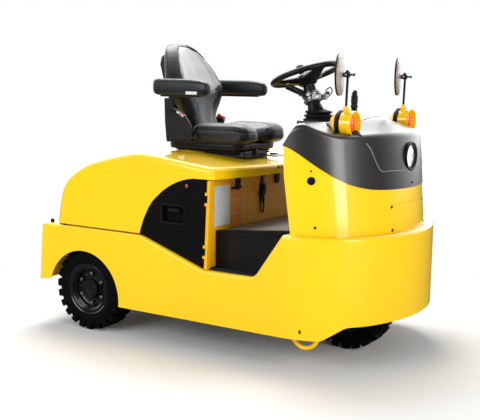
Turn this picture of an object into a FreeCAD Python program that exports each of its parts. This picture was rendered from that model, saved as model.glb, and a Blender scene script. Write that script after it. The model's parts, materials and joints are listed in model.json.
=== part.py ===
import FreeCAD, Part
import math
import os

# Three-wheeled electric tow tractor for airports and warehouses.
# Millimetres. +X is forward, +Y is the driver's left, +Z is up. The origin is on
# the ground, under the middle of the vehicle's length and width.

V = FreeCAD.Vector

# ---------------------------------------------------------------- overall sizes
body_length = 1680.0        # rear edge of the skirt to the nose
coupling_reach = 110.0      # tow jaw behind the foot of the rear plate
overall_width = 1000.0
wheelbase = 1100.0
front_overhang = 313.0      # front wheel axis to the nose

nose_x = (body_length + coupling_reach) / 2
tail_x = nose_x - body_length
jaw_end_x = tail_x - coupling_reach
steer_x = nose_x - front_overhang
rear_axle_x = steer_x - wheelbase
half_width = overall_width / 2

# ---------------------------------------------------------------- sheet and gaps
skirt_plate = 6.0           # lower body shell
skirt_shoulder = 14.0       # radius of its upper edges
hood_shoulder = 22.0        # radius of the hood's edges
cover_sheet = 4.0           # hood, doors and front panel
moving_gap = 5.0            # between panels that move past each other
seat_gap = 0.3              # between a piece and the curved seat that carries it
running_gap = 0.05          # radial play of a shaft in its bore

# ---------------------------------------------------------------- heights
skirt_bottom = 143.0
rear_skirt_bottom = 210.0
nose_skirt_bottom = 198.0
step_height = 366.0
fender_height = 478.0
ledge_height = 551.0
lip_bottom = 741.0          # underside of the hood's front lip
hood_top = 828.0

# ---------------------------------------------------------------- wheels
tyre_diameter = 380.0
tyre_width = 115.0
rim_radius = 104.0          # tyre seat
rim_flange_radius = 118.0
rim_width = 104.0
rear_wheel_y = half_width - 88.5     # middle plane of a rear wheel
spindle_radius = 20.0
hub_radius = 46.0
bolt_circle_radius = 68.0
axle_z = tyre_diameter / 2

# ---------------------------------------------------------------- chassis
chassis_plate = 8.0
tray_bottom = 150.0
tray_half_width = half_width - 66
tray_rear_x = rear_axle_x + tyre_diameter / 2 + 35
tray_front_x = steer_x - 222
rail_y = 306.0
rail_bottom = 250.0
rail_top = 354.0
battery_length = 410.0
battery_width = 2 * (tray_half_width - 19)
battery_height = 540.0
bearing_radius = 75.0
stem_radius = 30.0
bridge_z = 430.0
bridge_half_width = half_width - 180
arch_radius = tyre_diameter / 2 + 19
arch_z = axle_z - 27            # centre of the wheel arch

# ---------------------------------------------------------------- hood and doors
hood_rear_x = tail_x + 90
hood_half_width = half_width - 15
box_front_x = nose_x - 756      # face of the battery box's front panel
post_width = 14.0
post_lean = 14.0                # the post's top stands this far ahead of its foot
step_rear_x = box_front_x + 1
door_arc_rear_x = step_rear_x - 341
hinge_x = hood_rear_x - 10
hinge_z = fender_height + 12
hinge_pin_radius = 4.0
hinge_y = 300.0

# ---------------------------------------------------------------- foot well
well_half_width = half_width - 100
pan_sheet = 6.0
floor_rear_z = 515.0
floor_slope = 0.094             # rise of the floor per unit forward
mat_thickness = 4.0
step_front_x = step_rear_x + 376

# ---------------------------------------------------------------- front body
front_half_width = half_width - 20
front_panel_x = nose_x - 38     # panel's foot on the centreline
front_lean = 0.1                # how far the front leans back per unit of height
panel_rear_x = nose_x - 353
cowl_rear_z = 899.0
cowl_front_z = 721.0
cowl_overhang = 4.0
lamp_z = 847.0
lamp_radius = 59.0
lamp_rim = 10.0                 # width of the black ring around the lens
lamp_face_x = front_panel_x - 20
access_half_width = 178.0

# ---------------------------------------------------------------- steering
column_foot = V(nose_x - 495, 0, 978)
column_lean = math.radians(19)
column_axis = V(-math.sin(column_lean), 0, math.cos(column_lean))
wheel_distance = 208.0          # from the column's foot to the rim's plane
wheel_radius = 146.0
wheel_grip_radius = 13.0
shaft_radius = 10.0
column_radius = 22.0

# ---------------------------------------------------------------- signals and mirrors
signal_y = 286.0
signal_x = nose_x - 234
signal_z = 982.0
signal_radius = 50.0
signal_length = 88.0
mirror_z = 1172.0
mirror_radius = 81.0
mirror_yaw = math.radians(17)

# ---------------------------------------------------------------- seat
seat_rear_x = nose_x - 1198
seat_base_length = 410.0
seat_base_half_width = 130.0
seat_base_top = 860.0
cushion_bottom = 876.0
cushion_top = 944.0
cushion_half_width = 190.0
backrest_half_width = 190.0
armrest_y = 240.0
armrest_width = 48.0
armrest_pivot = V(seat_rear_x + 8, 0, 1108)


# ---------------------------------------------------------------- helpers
def box(x0, x1, y0, y1, z0, z1):
    return Part.makeBox(x1 - x0, y1 - y0, z1 - z0, V(x0, y0, z0))


def rod(start, end, radius):
    return Part.makeCylinder(radius, (end - start).Length, start, end - start)


def ball(centre, radius):
    return Part.makeSphere(radius, centre)


def fused(shapes):
    return shapes[0].fuse(shapes[1:]).removeSplitter()


def mirrored(shape):
    """The same piece on the other side of the vehicle."""
    return shape.mirror(V(0, 0, 0), V(0, 1, 0))


def both_sides(shape):
    return Part.makeCompound([shape, mirrored(shape)])


def rounded_wire(corners):
    """Closed wire through (point, radius) corners, each turned by an arc of its radius."""
    count = len(corners)
    stations = []
    for index, (here, radius) in enumerate(corners):
        if radius == 0:
            stations.append((here, here, here))
            continue
        back = (corners[index - 1][0] - here).normalize()
        ahead = (corners[(index + 1) % count][0] - here).normalize()
        half_angle = back.getAngle(ahead) / 2
        reach = radius / math.tan(half_angle)
        inward = (back + ahead).normalize()
        middle = here + inward * (radius / math.sin(half_angle) - radius)
        stations.append((here + back * reach, middle, here + ahead * reach))
    edges = []
    for index, (start, middle, end) in enumerate(stations):
        if not start.isEqual(end, 1e-6):
            edges.append(Part.Arc(start, middle, end).toShape())
        following = stations[(index + 1) % count][0]
        if not end.isEqual(following, 1e-6):
            edges.append(Part.makeLine(end, following))
    return Part.Wire(edges)


def side_face(corners, y=0.0):
    """Face in a plane across Y, from (x, z, radius) corners."""
    return Part.Face(rounded_wire([(V(x, y, z), radius) for x, z, radius in corners]))


def side_prism(corners, y0, y1):
    return side_face(corners, y0).extrude(V(0, y1 - y0, 0))


def plan_prism(corners, z0, z1):
    """Prism from (x, y, radius) corners, between two heights."""
    wire = rounded_wire([(V(x, y, z0), radius) for x, y, radius in corners])
    return Part.Face(wire).extrude(V(0, 0, z1 - z0))


def smooth_edge(points, start_way=None, end_way=None):
    curve = Part.BSplineCurve()
    if start_way is None:
        curve.interpolate(Points=points)
    else:
        curve.interpolate(Points=points, InitialTangent=start_way, FinalTangent=end_way)
    return curve.toShape()


nose_corner = 345.0             # radius of the lower body's front corners
nose_bow = 700.0              # radius of its front's middle stretch
panel_corner = 300.0            # the same two radii for the front panel and the cowl
panel_bow = 600.0


def nose_face(half, front, rear, z, corner, bow):
    """Plan with flat sides, two round corners and a bowed front, all tangent."""
    centre_x = front - bow
    corner_x = centre_x + math.sqrt((bow - corner) ** 2 - (half - corner) ** 2)
    corner_y = half - corner
    meeting = math.atan2(corner_y, corner_x - centre_x)
    halfway = (meeting + math.pi / 2) / 2
    join = V(centre_x + bow * math.cos(meeting), bow * math.sin(meeting), z)
    bend = V(corner_x + corner * math.cos(halfway), corner_y + corner * math.sin(halfway), z)
    side = V(corner_x, half, z)
    edges = [Part.makeLine(V(rear, -half, z), V(corner_x, -half, z)),
             Part.Arc(V(corner_x, -half, z), V(bend.x, -bend.y, z), V(join.x, -join.y, z)).toShape(),
             Part.Arc(V(join.x, -join.y, z), V(front, 0, z), join).toShape(),
             Part.Arc(join, bend, side).toShape(),
             Part.makeLine(side, V(rear, half, z)),
             Part.makeLine(V(rear, half, z), V(rear, -half, z))]
    return Part.Face(Part.Wire(edges))


def nose_prism(inset, z0, z1):
    """Plan of the lower body, pulled in all round, between two heights."""
    face = nose_face(half_width - inset, nose_x - inset, tail_x - 20, z0, nose_corner - inset, nose_bow - inset)
    return face.extrude(V(0, 0, z1 - z0))


def front_walls(inset, low, high, half=front_half_width):
    """Solid inside the leaning front panel, pulled in by an inset, between two heights."""
    wires = []
    for z in (low, high):
        front = front_panel_x - inset - (z - ledge_height) * front_lean
        face = nose_face(half - inset, front, panel_rear_x - 160, z, panel_corner - inset, panel_bow - inset)
        wires.append(face.OuterWire)
    return Part.makeLoft(wires, True, True)


def crowned(stations, half, middle_share):
    """Solid below a domed top: stations are (x, side height, middle height) along the vehicle."""
    steps = 8
    rows = []
    for x, side_z, middle_z in stations:
        row = []
        for step in range(-steps, steps + 1):
            y = half * step / steps
            rise = math.cos(math.pi / 2 * min(abs(y) / (half * middle_share), 1)) ** 2
            row.append(V(x, y, side_z + (middle_z - side_z) * rise))
        rows.append(row)
    surface = Part.BSplineSurface()
    surface.interpolate(rows)
    return surface.toShape().extrude(V(0, 0, -700))


def top_face(solid):
    """The face that carries the highest point of a solid."""
    return max(solid.Faces, key=lambda face: face.BoundBox.ZMax + face.BoundBox.ZLength / 1000)


def rim_edges(solid, wanted):
    """Edges of the top face whose middle point passes a test."""
    edges = []
    for edge in top_face(solid).Edges:
        middle = edge.valueAt((edge.FirstParameter + edge.LastParameter) / 2)
        if wanted(middle):
            edges.append(edge)
    return edges


def revolved(profile, centre, axis, across):
    """Solid of revolution from (radius, distance along the axis) corners."""
    points = [centre + across * radius + axis * along for radius, along in profile]
    face = Part.Face(Part.makePolygon(points + points[:1]))
    return face.revolve(centre, axis, 360)


pieces = {}


# ---------------------------------------------------------------- lower body
def skirt_outline(inset):
    """Side outline of the lower body, pulled in by a wall."""
    rear_lean = 19
    slope_foot = (step_rear_x, step_height - inset)
    slope_head = (step_rear_x - 328, fender_height - inset)
    return [
        (tail_x + inset, rear_skirt_bottom, 0),
        (tail_x + rear_lean + inset, fender_height - inset, 0),
        (slope_head[0], slope_head[1], 120),
        (slope_foot[0], slope_foot[1], 25),
        (step_front_x - 127, step_height - inset, 45),
        (step_front_x, ledge_height - inset, 12),
        (nose_x + 10, ledge_height - inset, 0),
        (nose_x + 10, nose_skirt_bottom, 0),
        (nose_x - 138, nose_skirt_bottom, 40),
        (nose_x - 218, skirt_bottom, 40),
        (rear_axle_x + 60, skirt_bottom, 0),
        (rear_axle_x - 150, rear_skirt_bottom + 17, 0),
    ]


def upper_rim(solid, lowest):
    """Edges where the flat sides and the nose of a lower body meet its top."""
    edges = []
    for edge in solid.Edges:
        heights = [vertex.Z for vertex in edge.Vertexes]
        run = edge.BoundBox.YLength
        crosses = edge.Length - run < 1e-6
        if min(heights) > lowest and not crosses:
            edges.append(edge)
    return edges


def lower_body():
    outer = nose_prism(0, 100, 600)
    outer = outer.common(side_prism(skirt_outline(0), -half_width, half_width))
    outer = outer.makeFillet(skirt_shoulder, upper_rim(outer, step_height - 20))
    inner = nose_prism(skirt_plate, 90, 600)
    profile = skirt_outline(skirt_plate)
    open_below = [(x, z - 60 if z < 300 else z, 0 if z < 300 else r) for x, z, r in profile]
    inner = inner.common(side_prism(open_below, -half_width, half_width))
    inner = inner.makeFillet(skirt_shoulder - skirt_plate, upper_rim(inner, step_height - 30))
    shell = outer.cut(inner)
    arch = rod(V(rear_axle_x, -half_width - 1, arch_z), V(rear_axle_x, half_width + 1, arch_z), arch_radius)
    shell = shell.cut(arch)
    flange = half_width - 21
    hood_bay = box(hood_rear_x + 7, step_front_x - 1, -flange, flange, step_height - 20, 600)
    front_bay = front_walls(30, ledge_height - 70, ledge_height + 40)
    front_bay = front_bay.common(box(step_front_x - 2, nose_x, -half_width, half_width, 400, 700))
    return shell.cut(hood_bay).cut(front_bay).removeSplitter()


pieces["lower_body_shell"] = lower_body()

inner_nose = nose_prism(skirt_plate + seat_gap, 0, 700)


# ---------------------------------------------------------------- chassis
def chassis():
    wall = chassis_plate
    floor_plate = box(tray_rear_x, tray_front_x, -half_width, half_width, tray_bottom, tray_bottom + wall)
    floor_plate = floor_plate.common(inner_nose)
    sides = [box(tray_rear_x, tray_front_x, y, y + wall, tray_bottom, rail_top)
             for y in (-tray_half_width, tray_half_width - wall)]
    cross_walls = [box(x, x + wall, -half, half, tray_bottom, top)
                   for x, half, top in ((tray_rear_x, tray_half_width, rail_top),
                                        (tray_front_x - wall, tray_half_width, rail_top - 4),
                                        (tray_front_x - wall, bridge_half_width, bridge_z + 12))]
    bridge = box(tray_front_x - wall, nose_x, -bridge_half_width, bridge_half_width, bridge_z, bridge_z + 12)
    bridge = bridge.common(inner_nose)
    bearing = rod(V(steer_x, 0, bridge_z - 6), V(steer_x, 0, bridge_z + 42), bearing_radius)
    rails = [box(tail_x + 26, tray_rear_x + wall, y - 6, y + 6, rail_bottom, rail_top)
             for y in (-rail_y, rail_y)]
    frame = fused([floor_plate] + sides + cross_walls + [bridge, bearing] + rails)
    bore = rod(V(steer_x, 0, bridge_z - 20), V(steer_x, 0, bridge_z + 60), stem_radius + running_gap)
    return frame.cut(bore)


pieces["chassis_frame"] = chassis()

battery_front_x = box_front_x - 6 - 8
battery_rear_x = battery_front_x - battery_length
battery_z = tray_bottom + chassis_plate
pieces["battery_block"] = box(
    battery_rear_x, battery_front_x, -battery_width / 2, battery_width / 2,
    battery_z, battery_z + battery_height)


# ---------------------------------------------------------------- rear plate and coupling
plate_thickness = 14.0
rear_lean_slope = 19 / (fender_height - rear_skirt_bottom)


def rear_face_x(z):
    """X of the leaning rear wall of the lower body at a height."""
    return tail_x + (z - rear_skirt_bottom) * rear_lean_slope


tow_plate_bottom = 216.0
tow_plate_top = 440.0
tow_plate_half = 210.0


def tow_plate():
    low, high = rear_face_x(tow_plate_bottom), rear_face_x(tow_plate_top)
    corners = [(low, tow_plate_bottom, 0), (high, tow_plate_top, 0),
               (high - plate_thickness, tow_plate_top, 0),
               (low - plate_thickness, tow_plate_bottom, 0)]
    return side_prism(corners, -tow_plate_half, tow_plate_half)


pieces["rear_tow_plate"] = tow_plate()

jaw_half_width = 52.0
jaw_plate = 14.0
jaw_gap = 40.0
jaw_middle_z = 318.0
tow_pin_radius = 11.0
tow_pin_x = jaw_end_x + 34


def tow_coupling():
    low_z, high_z = jaw_middle_z - 82, jaw_middle_z + 82
    low_x = rear_face_x(low_z) - plate_thickness
    high_x = rear_face_x(high_z) - plate_thickness
    back_x = low_x - 14
    back = side_prism([(low_x, low_z, 0), (high_x, high_z, 0), (back_x, high_z, 0), (back_x, low_z, 0)],
                      -75, 75)
    levels = [jaw_middle_z + step * (jaw_gap + jaw_plate) for step in (-1, 0, 1)]
    plates = [plan_prism([(back_x, -jaw_half_width, 0), (back_x, jaw_half_width, 0),
                          (jaw_end_x, jaw_half_width, 22), (jaw_end_x, -jaw_half_width, 22)],
                         z - jaw_plate / 2, z + jaw_plate / 2) for z in levels]
    body = fused([back] + plates)
    bore = rod(V(tow_pin_x, 0, low_z - 30), V(tow_pin_x, 0, high_z + 30), tow_pin_radius + seat_gap)
    return body.cut(bore)


pieces["tow_coupling"] = tow_coupling()


def coupling_pin():
    top = jaw_middle_z + jaw_gap + jaw_plate * 1.5
    foot = jaw_middle_z - jaw_gap - jaw_plate * 1.5 - 12
    shank = rod(V(tow_pin_x, 0, foot), V(tow_pin_x, 0, top + 12), tow_pin_radius)
    head = rod(V(tow_pin_x, 0, top), V(tow_pin_x, 0, top + 8), 20)
    ring = Part.makeTorus(20, 4, V(tow_pin_x, 0, top + 34), V(1, 0, 0))
    return fused([shank, head, ring])


pieces["coupling_pin"] = coupling_pin()

lamp_body_radius = 34.0
rear_lamp_y = 400.0
rear_lamp_z = 405.0
pieces["rear_lamps"] = both_sides(rod(
    V(rear_face_x(rear_lamp_z) - 18, rear_lamp_y, rear_lamp_z),
    V(rear_face_x(rear_lamp_z) + 6, rear_lamp_y, rear_lamp_z), lamp_body_radius
).cut(pieces["lower_body_shell"]).cut(box(
    rear_face_x(rear_lamp_z) + 1, 0, 0, half_width, rear_lamp_z - 50, rear_lamp_z + 50)))


# ---------------------------------------------------------------- tie-down rings
ring_x = nose_x - 305
ring_y = half_width - 75
ring_radius = 58.0
ring_z = 154.0                  # centre of the loop
ring_rod_radius = 9.0


def tie_down():
    centre = V(ring_x, ring_y, ring_z)
    loop = Part.makeTorus(ring_radius, ring_rod_radius, centre, V(0, 1, 0))
    loop = loop.cut(box(ring_x - 90, ring_x + 90, ring_y - 20, ring_y + 20, ring_z, 260))
    legs = [rod(V(ring_x + side * ring_radius, ring_y, ring_z), V(ring_x + side * ring_radius, ring_y, ring_z + 20),
                ring_rod_radius) for side in (-1, 1)]
    inner_wall = half_width - skirt_plate
    lug = box(ring_x - 78, ring_x + 78, ring_y - 11, inner_wall, 170, 186).common(inner_nose)
    return fused([loop] + legs + [lug])


pieces["tie_down_rings"] = both_sides(tie_down())


# ---------------------------------------------------------------- rear axle and wheels
def rear_axle():
    tube_end = rear_wheel_y - rim_width / 2 - 8
    tube = rod(V(rear_axle_x, -tube_end, axle_z), V(rear_axle_x, tube_end, axle_z), 42)
    spindle_end = rear_wheel_y + 34
    spindle = rod(V(rear_axle_x, -spindle_end, axle_z), V(rear_axle_x, spindle_end, axle_z), spindle_radius)
    case = rod(V(rear_axle_x, -75, axle_z), V(rear_axle_x, 75, axle_z), 92)
    motor = rod(V(rear_axle_x - 60, 0, axle_z + 8), V(rear_axle_x - 215, 0, axle_z + 8), 82)
    saddles = [box(rear_axle_x - 35, rear_axle_x + 35, y - 20, y + 20, axle_z, rail_bottom)
               for y in (-rail_y, rail_y)]
    return fused([tube, spindle, case, motor] + saddles)


pieces["rear_axle_housing"] = rear_axle()


def wheel_rim(side):
    """Dished disc rim around the Y axis; side is -1 with its dish to the right, +1 to the left."""
    half = rim_width / 2
    profile = [
        (spindle_radius + running_gap, -half + 12), (hub_radius, -half + 12), (hub_radius, 10),
        (rim_radius - 8, 10), (rim_radius - 8, -half), (rim_flange_radius, -half),
        (rim_flange_radius, -half + 6), (rim_radius, -half + 6), (rim_radius, half - 6),
        (rim_flange_radius, half - 6), (rim_flange_radius, half), (rim_radius - 8, half),
        (rim_radius - 16, 20), (hub_radius - 4, 20), (hub_radius - 4, 44), (0, 44), (0, 38),
        (spindle_radius + running_gap, 38),
    ]
    return revolved(profile, V(0, 0, 0), V(0, side, 0), V(1, 0, 0))


def wheel_nuts(side, count=6):
    """Nuts on the bolt circle, standing on the disc's outer face."""
    nuts = []
    for index in range(count):
        angle = 2 * math.pi * (index + 0.5) / count
        x, z = bolt_circle_radius * math.cos(angle), bolt_circle_radius * math.sin(angle)
        nuts.append(rod(V(x, side * 19, z), V(x, side * 30, z), 9))
    return nuts


def tyre():
    """Solid tyre around the Y axis, seated between the rim's flanges."""
    half = tyre_width / 2
    bead = rim_width / 2 - 6 - seat_gap
    outer = tyre_diameter / 2
    corners = [
        (V(rim_radius + seat_gap, -bead, 0), 0), (V(rim_radius + seat_gap, bead, 0), 0),
        (V(rim_flange_radius + seat_gap, bead, 0), 0), (V(rim_flange_radius + seat_gap, half - 3, 0), 0),
        (V(outer - 16, half, 0), 6), (V(outer - 3, half - 8, 0), 6), (V(outer, 0, 0), 0),
        (V(outer - 3, -half + 8, 0), 6), (V(outer - 16, -half, 0), 6),
        (V(rim_flange_radius + seat_gap, -half + 3, 0), 0), (V(rim_flange_radius + seat_gap, -bead, 0), 0),
    ]
    return Part.Face(rounded_wire(corners)).revolve(V(0, 0, 0), V(0, 1, 0), 360)


def placed(shape, x, y, z):
    return shape.translated(V(x, y, z))


for label, side in (("right", -1), ("left", 1)):
    rim = fused([wheel_rim(side)] + wheel_nuts(side))
    pieces["rear_rim_" + label] = placed(rim, rear_axle_x, side * rear_wheel_y, axle_z)
    pieces["rear_tyre_" + label] = placed(tyre(), rear_axle_x, side * rear_wheel_y, axle_z)


# ---------------------------------------------------------------- steered front wheel
fork_arm = 12.0
fork_inner = tyre_width / 2 + 7
crown_z = tyre_diameter + 16
fork_crown = 18.0


def front_rim():
    half = rim_width / 2
    hub_half = fork_inner - 4
    bore = spindle_radius + running_gap
    profile = [
        (bore, -hub_half), (hub_radius, -hub_half), (hub_radius, -6), (rim_radius - 8, -6),
        (rim_radius - 8, -half), (rim_flange_radius, -half), (rim_flange_radius, -half + 6),
        (rim_radius, -half + 6), (rim_radius, half - 6), (rim_flange_radius, half - 6),
        (rim_flange_radius, half), (rim_radius - 8, half), (rim_radius - 8, 6), (hub_radius, 6),
        (hub_radius, hub_half), (bore, hub_half),
    ]
    return placed(revolved(profile, V(0, 0, 0), V(0, 1, 0), V(1, 0, 0)), steer_x, 0, axle_z)


def front_fork():
    outer = fork_inner + fork_arm
    arm_profile = [(steer_x - 45, crown_z + fork_crown, 0), (steer_x + 45, crown_z + fork_crown, 0),
                   (steer_x + 34, axle_z - 40, 30), (steer_x - 34, axle_z - 40, 30)]
    arms = [side_prism(arm_profile, fork_inner, outer), side_prism(arm_profile, -outer, -fork_inner)]
    crown = box(steer_x - 45, steer_x + 45, -outer, outer, crown_z, crown_z + fork_crown)
    stem = rod(V(steer_x, 0, crown_z), V(steer_x, 0, bridge_z + 52), stem_radius)
    collar_top = bridge_z - 6 - seat_gap
    collar = rod(V(steer_x, 0, crown_z + 1), V(steer_x, 0, collar_top), 52)
    nut = rod(V(steer_x, 0, bridge_z + 42 + seat_gap), V(steer_x, 0, bridge_z + 52), 44)
    bore = rod(V(steer_x, -outer - 1, axle_z), V(steer_x, outer + 1, axle_z), spindle_radius + seat_gap / 2)
    return fused(arms + [crown, stem, collar, nut]).cut(bore)


pieces["front_rim"] = front_rim()
pieces["front_tyre"] = placed(tyre(), steer_x, 0, axle_z)
pieces["front_fork"] = front_fork()
axle_end = fork_inner + fork_arm + 12
pieces["front_axle"] = rod(V(steer_x, -axle_end, axle_z), V(steer_x, axle_end, axle_z), spindle_radius)


# ---------------------------------------------------------------- foot well
def floor_z(x):
    """Height of the floor sheet's top."""
    return floor_rear_z + (x - box_front_x) * floor_slope


floor_front_x = front_panel_x - 48


def floor_pan():
    rear = box_front_x + seat_gap
    sheet = side_prism([(rear, floor_z(rear) - pan_sheet, 0), (rear, floor_z(rear), 0),
                        (floor_front_x, floor_z(floor_front_x), 0),
                        (floor_front_x, floor_z(floor_front_x) - pan_sheet, 0)],
                       -well_half_width, well_half_width)
    sheet = sheet.common(front_walls(16, 400, 700, well_half_width + 16).fuse(
        box(rear, panel_rear_x, -well_half_width, well_half_width, 400, 700)))
    riser_profile = [(rear, step_height, 0), (rear, floor_z(rear) - 1, 0),
                     (step_front_x + 20, floor_z(step_front_x + 20) - 1, 0), (step_front_x + 20, step_height, 0)]
    parts = [sheet]
    for side in (-1, 1):
        inner, outer = sorted((side * (well_half_width - pan_sheet), side * well_half_width))
        parts.append(side_prism(riser_profile, inner, outer))
        edge = side * (half_width - skirt_shoulder - seat_gap)
        low, high = sorted((side * (well_half_width - pan_sheet), edge))
        parts.append(box(rear, step_front_x + 20, low, high, step_height - pan_sheet - 6, step_height - 6))
        parts.append(box(rear, step_front_x + 20, inner, outer, step_height - pan_sheet - 6, step_height + 1))
        parts.append(box(step_front_x + 14, step_front_x + 20, low, high, step_height - 7, ledge_height - 7))
    return fused(parts)


pieces["floor_pan"] = floor_pan()


def floor_mats():
    rear = box_front_x + 8
    front = floor_front_x - 60
    mat = side_prism([(rear, floor_z(rear), 0), (rear, floor_z(rear) + mat_thickness, 0),
                      (front, floor_z(front) + mat_thickness, 0), (front, floor_z(front), 0)],
                     -well_half_width + 4, well_half_width - 4)
    mat = mat.common(front_walls(34, 400, 700, well_half_width + 30).fuse(
        box(rear, panel_rear_x, -well_half_width + 4, well_half_width - 4, 400, 700)))
    tread = box(step_rear_x + 10, step_front_x - 100, well_half_width + 6, half_width - 22 - 1,
                step_height - 6, step_height - 2)
    return Part.makeCompound([mat, tread, mirrored(tread)])


pieces["floor_mats"] = floor_mats()


door_hinge_radius = 5.0
door_pin_radius = 2.0
door_hinge_heights = (440.0, 660.0)
door_knuckle = 15.0             # half the length of the door's own knuckle
door_knuckle_gap = 0.5
post_knuckle = 12.0


def door_axis_point(z):
    """Point on the right door's leaning hinge line at a height."""
    lean = post_lean * (z - step_height) / (lip_bottom - step_height)
    return V(step_rear_x + lean - moving_gap / 2, -hood_half_width - 1.5, z)


def hinge_span(low, high, radius):
    return rod(door_axis_point(low), door_axis_point(high), radius)


def door_knuckles(extra=0.0):
    """The door's own barrels, or the room they turn in."""
    reach = door_knuckle + extra
    return [hinge_span(z - reach, z + reach, door_hinge_radius + extra) for z in door_hinge_heights]


def post_knuckles(extra=0.0):
    near = door_knuckle + door_knuckle_gap - extra
    far = door_knuckle + door_knuckle_gap + post_knuckle + extra
    spans = []
    for z in door_hinge_heights:
        spans.append(hinge_span(z - far, z - near, door_hinge_radius + extra))
        spans.append(hinge_span(z + near, z + far, door_hinge_radius + extra))
    return spans


def door_pins(radius):
    reach = door_knuckle + door_knuckle_gap + post_knuckle
    return [hinge_span(z - reach, z + reach, radius) for z in door_hinge_heights]


def box_front_panel():
    """Front wall of the battery box with its two leaning corner posts."""
    sheet = box(box_front_x - 6, box_front_x, -hood_half_width + 11, hood_half_width - 11,
                step_height + 1, lip_bottom - moving_gap)
    top = lip_bottom - moving_gap
    foot = step_height + 1
    post_profile = [(step_rear_x, foot, 0), (step_rear_x + post_lean, top, 0),
                    (step_rear_x + post_lean + post_width, top, 0), (step_rear_x + post_width, foot, 0)]
    posts = [side_prism(post_profile, hood_half_width - 25, hood_half_width),
             side_prism(post_profile, -hood_half_width, -hood_half_width + 25)]
    webs = [box(box_front_x - 6, step_rear_x + 20, hood_half_width - 25, hood_half_width - 11, foot, top),
            box(box_front_x - 6, step_rear_x + 20, -hood_half_width + 11, -hood_half_width + 25, foot, top)]
    webs = [web.cut(box(step_rear_x + 7, step_rear_x + 30, -half_width, half_width, foot - 1, foot + 190))
            for web in webs]
    frame = fused([sheet] + webs + posts)
    room = door_knuckles(door_knuckle_gap)
    barrels = post_knuckles() + door_pins(door_pin_radius)
    for shape in room:
        frame = frame.cut([shape, mirrored(shape)])
    return fused([frame] + barrels + [mirrored(shape) for shape in barrels])


pieces["battery_box_front_panel"] = box_front_panel()


# ---------------------------------------------------------------- hood
lip_front_bow = 61.0            # the lip's middle stands this far ahead of its corners
lip_corner_x = step_rear_x + 36
lip_front_x = lip_corner_x + lip_front_bow


def inset_line(points, inset):
    """Points of a line in the XZ plane, moved square to it towards the inside."""
    moved = []
    for index, point in enumerate(points):
        along = points[min(index + 1, len(points) - 1)] - points[max(index - 1, 0)]
        moved.append(point + V(along.z, 0, -along.x).normalize() * inset)
    return moved


def hood_outline(inset):
    """Side outline of the hood as a face across Y."""
    corners = [(0, 0), (16, 72), (33, 148), (53, 192), (97, 232), (153, 266), (275, 307), (392, 334),
               (477, 345), (582, 340), (692, 327), (802, 314), (lip_front_x + 10 - hood_rear_x, 299)]
    base = fender_height + moving_gap
    points = inset_line([V(hood_rear_x + x, 0, base + z) for x, z in corners], inset)
    low_front = V(points[-1].x, 0, base - inset)
    low_rear = V(points[0].x, 0, base - inset)
    edges = [smooth_edge(points), Part.makeLine(points[-1], low_front), Part.makeLine(low_front, low_rear)]
    if not low_rear.isEqual(points[0], 1e-6):
        edges.append(Part.makeLine(low_rear, points[0]))
    return Part.Face(Part.Wire(edges))


def lip_prism(inset):
    """Plan of the hood, with its bowed front edge."""
    half = hood_half_width - inset
    corner, middle = lip_corner_x - inset, lip_front_x - inset
    arc = Part.Arc(V(corner, -half, 400), V(middle, 0, 400), V(corner, half, 400)).toShape()
    rear_left, rear_right = V(hood_rear_x - 50, half, 400), V(hood_rear_x - 50, -half, 400)
    edges = [arc, Part.makeLine(V(corner, half, 400), rear_left), Part.makeLine(rear_left, rear_right)]
    edges.append(Part.makeLine(rear_right, V(corner, -half, 400)))
    return Part.Face(Part.Wire(edges)).extrude(V(0, 0, 600))


def door_opening():
    """Face across Y that the side door fills: arc, lip, post and the sloping skirt."""
    foot = V(door_arc_rear_x, 0, fender_height)
    head = V(step_rear_x - 61, 0, lip_bottom)
    arc = Part.Arc(foot, V(step_rear_x - 243, 0, 656), head).toShape()
    post_top = V(step_rear_x + post_lean, 0, lip_bottom)
    post_foot = V(step_rear_x, 0, step_height)
    shoulder = V(step_rear_x - 328, 0, fender_height)
    lines = [(head, post_top), (post_top, post_foot), (post_foot, shoulder), (shoulder, foot)]
    return Part.Face(Part.Wire([arc] + [Part.makeLine(a, b) for a, b in lines]))


def hood_body(inset):
    solid = hood_outline(inset).extrude(V(0, overall_width, 0)).translated(V(0, -half_width, 0))
    solid = solid.common(lip_prism(inset))
    rim = []
    for edge in solid.Edges:
        middle = edge.valueAt((edge.FirstParameter + edge.LastParameter) / 2)
        if middle.z > fender_height + 2 * moving_gap and edge.BoundBox.XLength + edge.BoundBox.ZLength > 50:
            rim.append(edge)
    return solid.makeFillet(hood_shoulder - inset, rim)


def hood():
    outer = hood_body(0)
    inner = hood_body(cover_sheet)
    below = box(hood_rear_x + cover_sheet + 1, lip_front_x, -hood_half_width, hood_half_width,
                fender_height, fender_height + moving_gap + cover_sheet + 1)
    below = below.common(lip_prism(cover_sheet))
    shell = outer.cut(inner).cut(below)
    door_cut = door_opening().extrude(V(0, overall_width, 0)).translated(V(0, -half_width, 0))
    front_cut = box(step_rear_x - 4, lip_front_x + 20, -half_width, half_width, 400, lip_bottom)
    shell = shell.cut(door_cut).cut(front_cut)
    knuckles = []
    for y in (-hinge_y, hinge_y):
        barrel = rod(V(hinge_x, y - 14, hinge_z), V(hinge_x, y + 14, hinge_z), 8)
        strap = box(hinge_x, hood_rear_x + 8, y - 14, y + 14, hinge_z - 4, hinge_z + 4)
        bore = rod(V(hinge_x, y - 20, hinge_z), V(hinge_x, y + 20, hinge_z), hinge_pin_radius + running_gap)
        knuckles.append(barrel.fuse(strap).cut(bore))
    return fused([shell] + knuckles)


pieces["hood_shell"] = hood()


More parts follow.
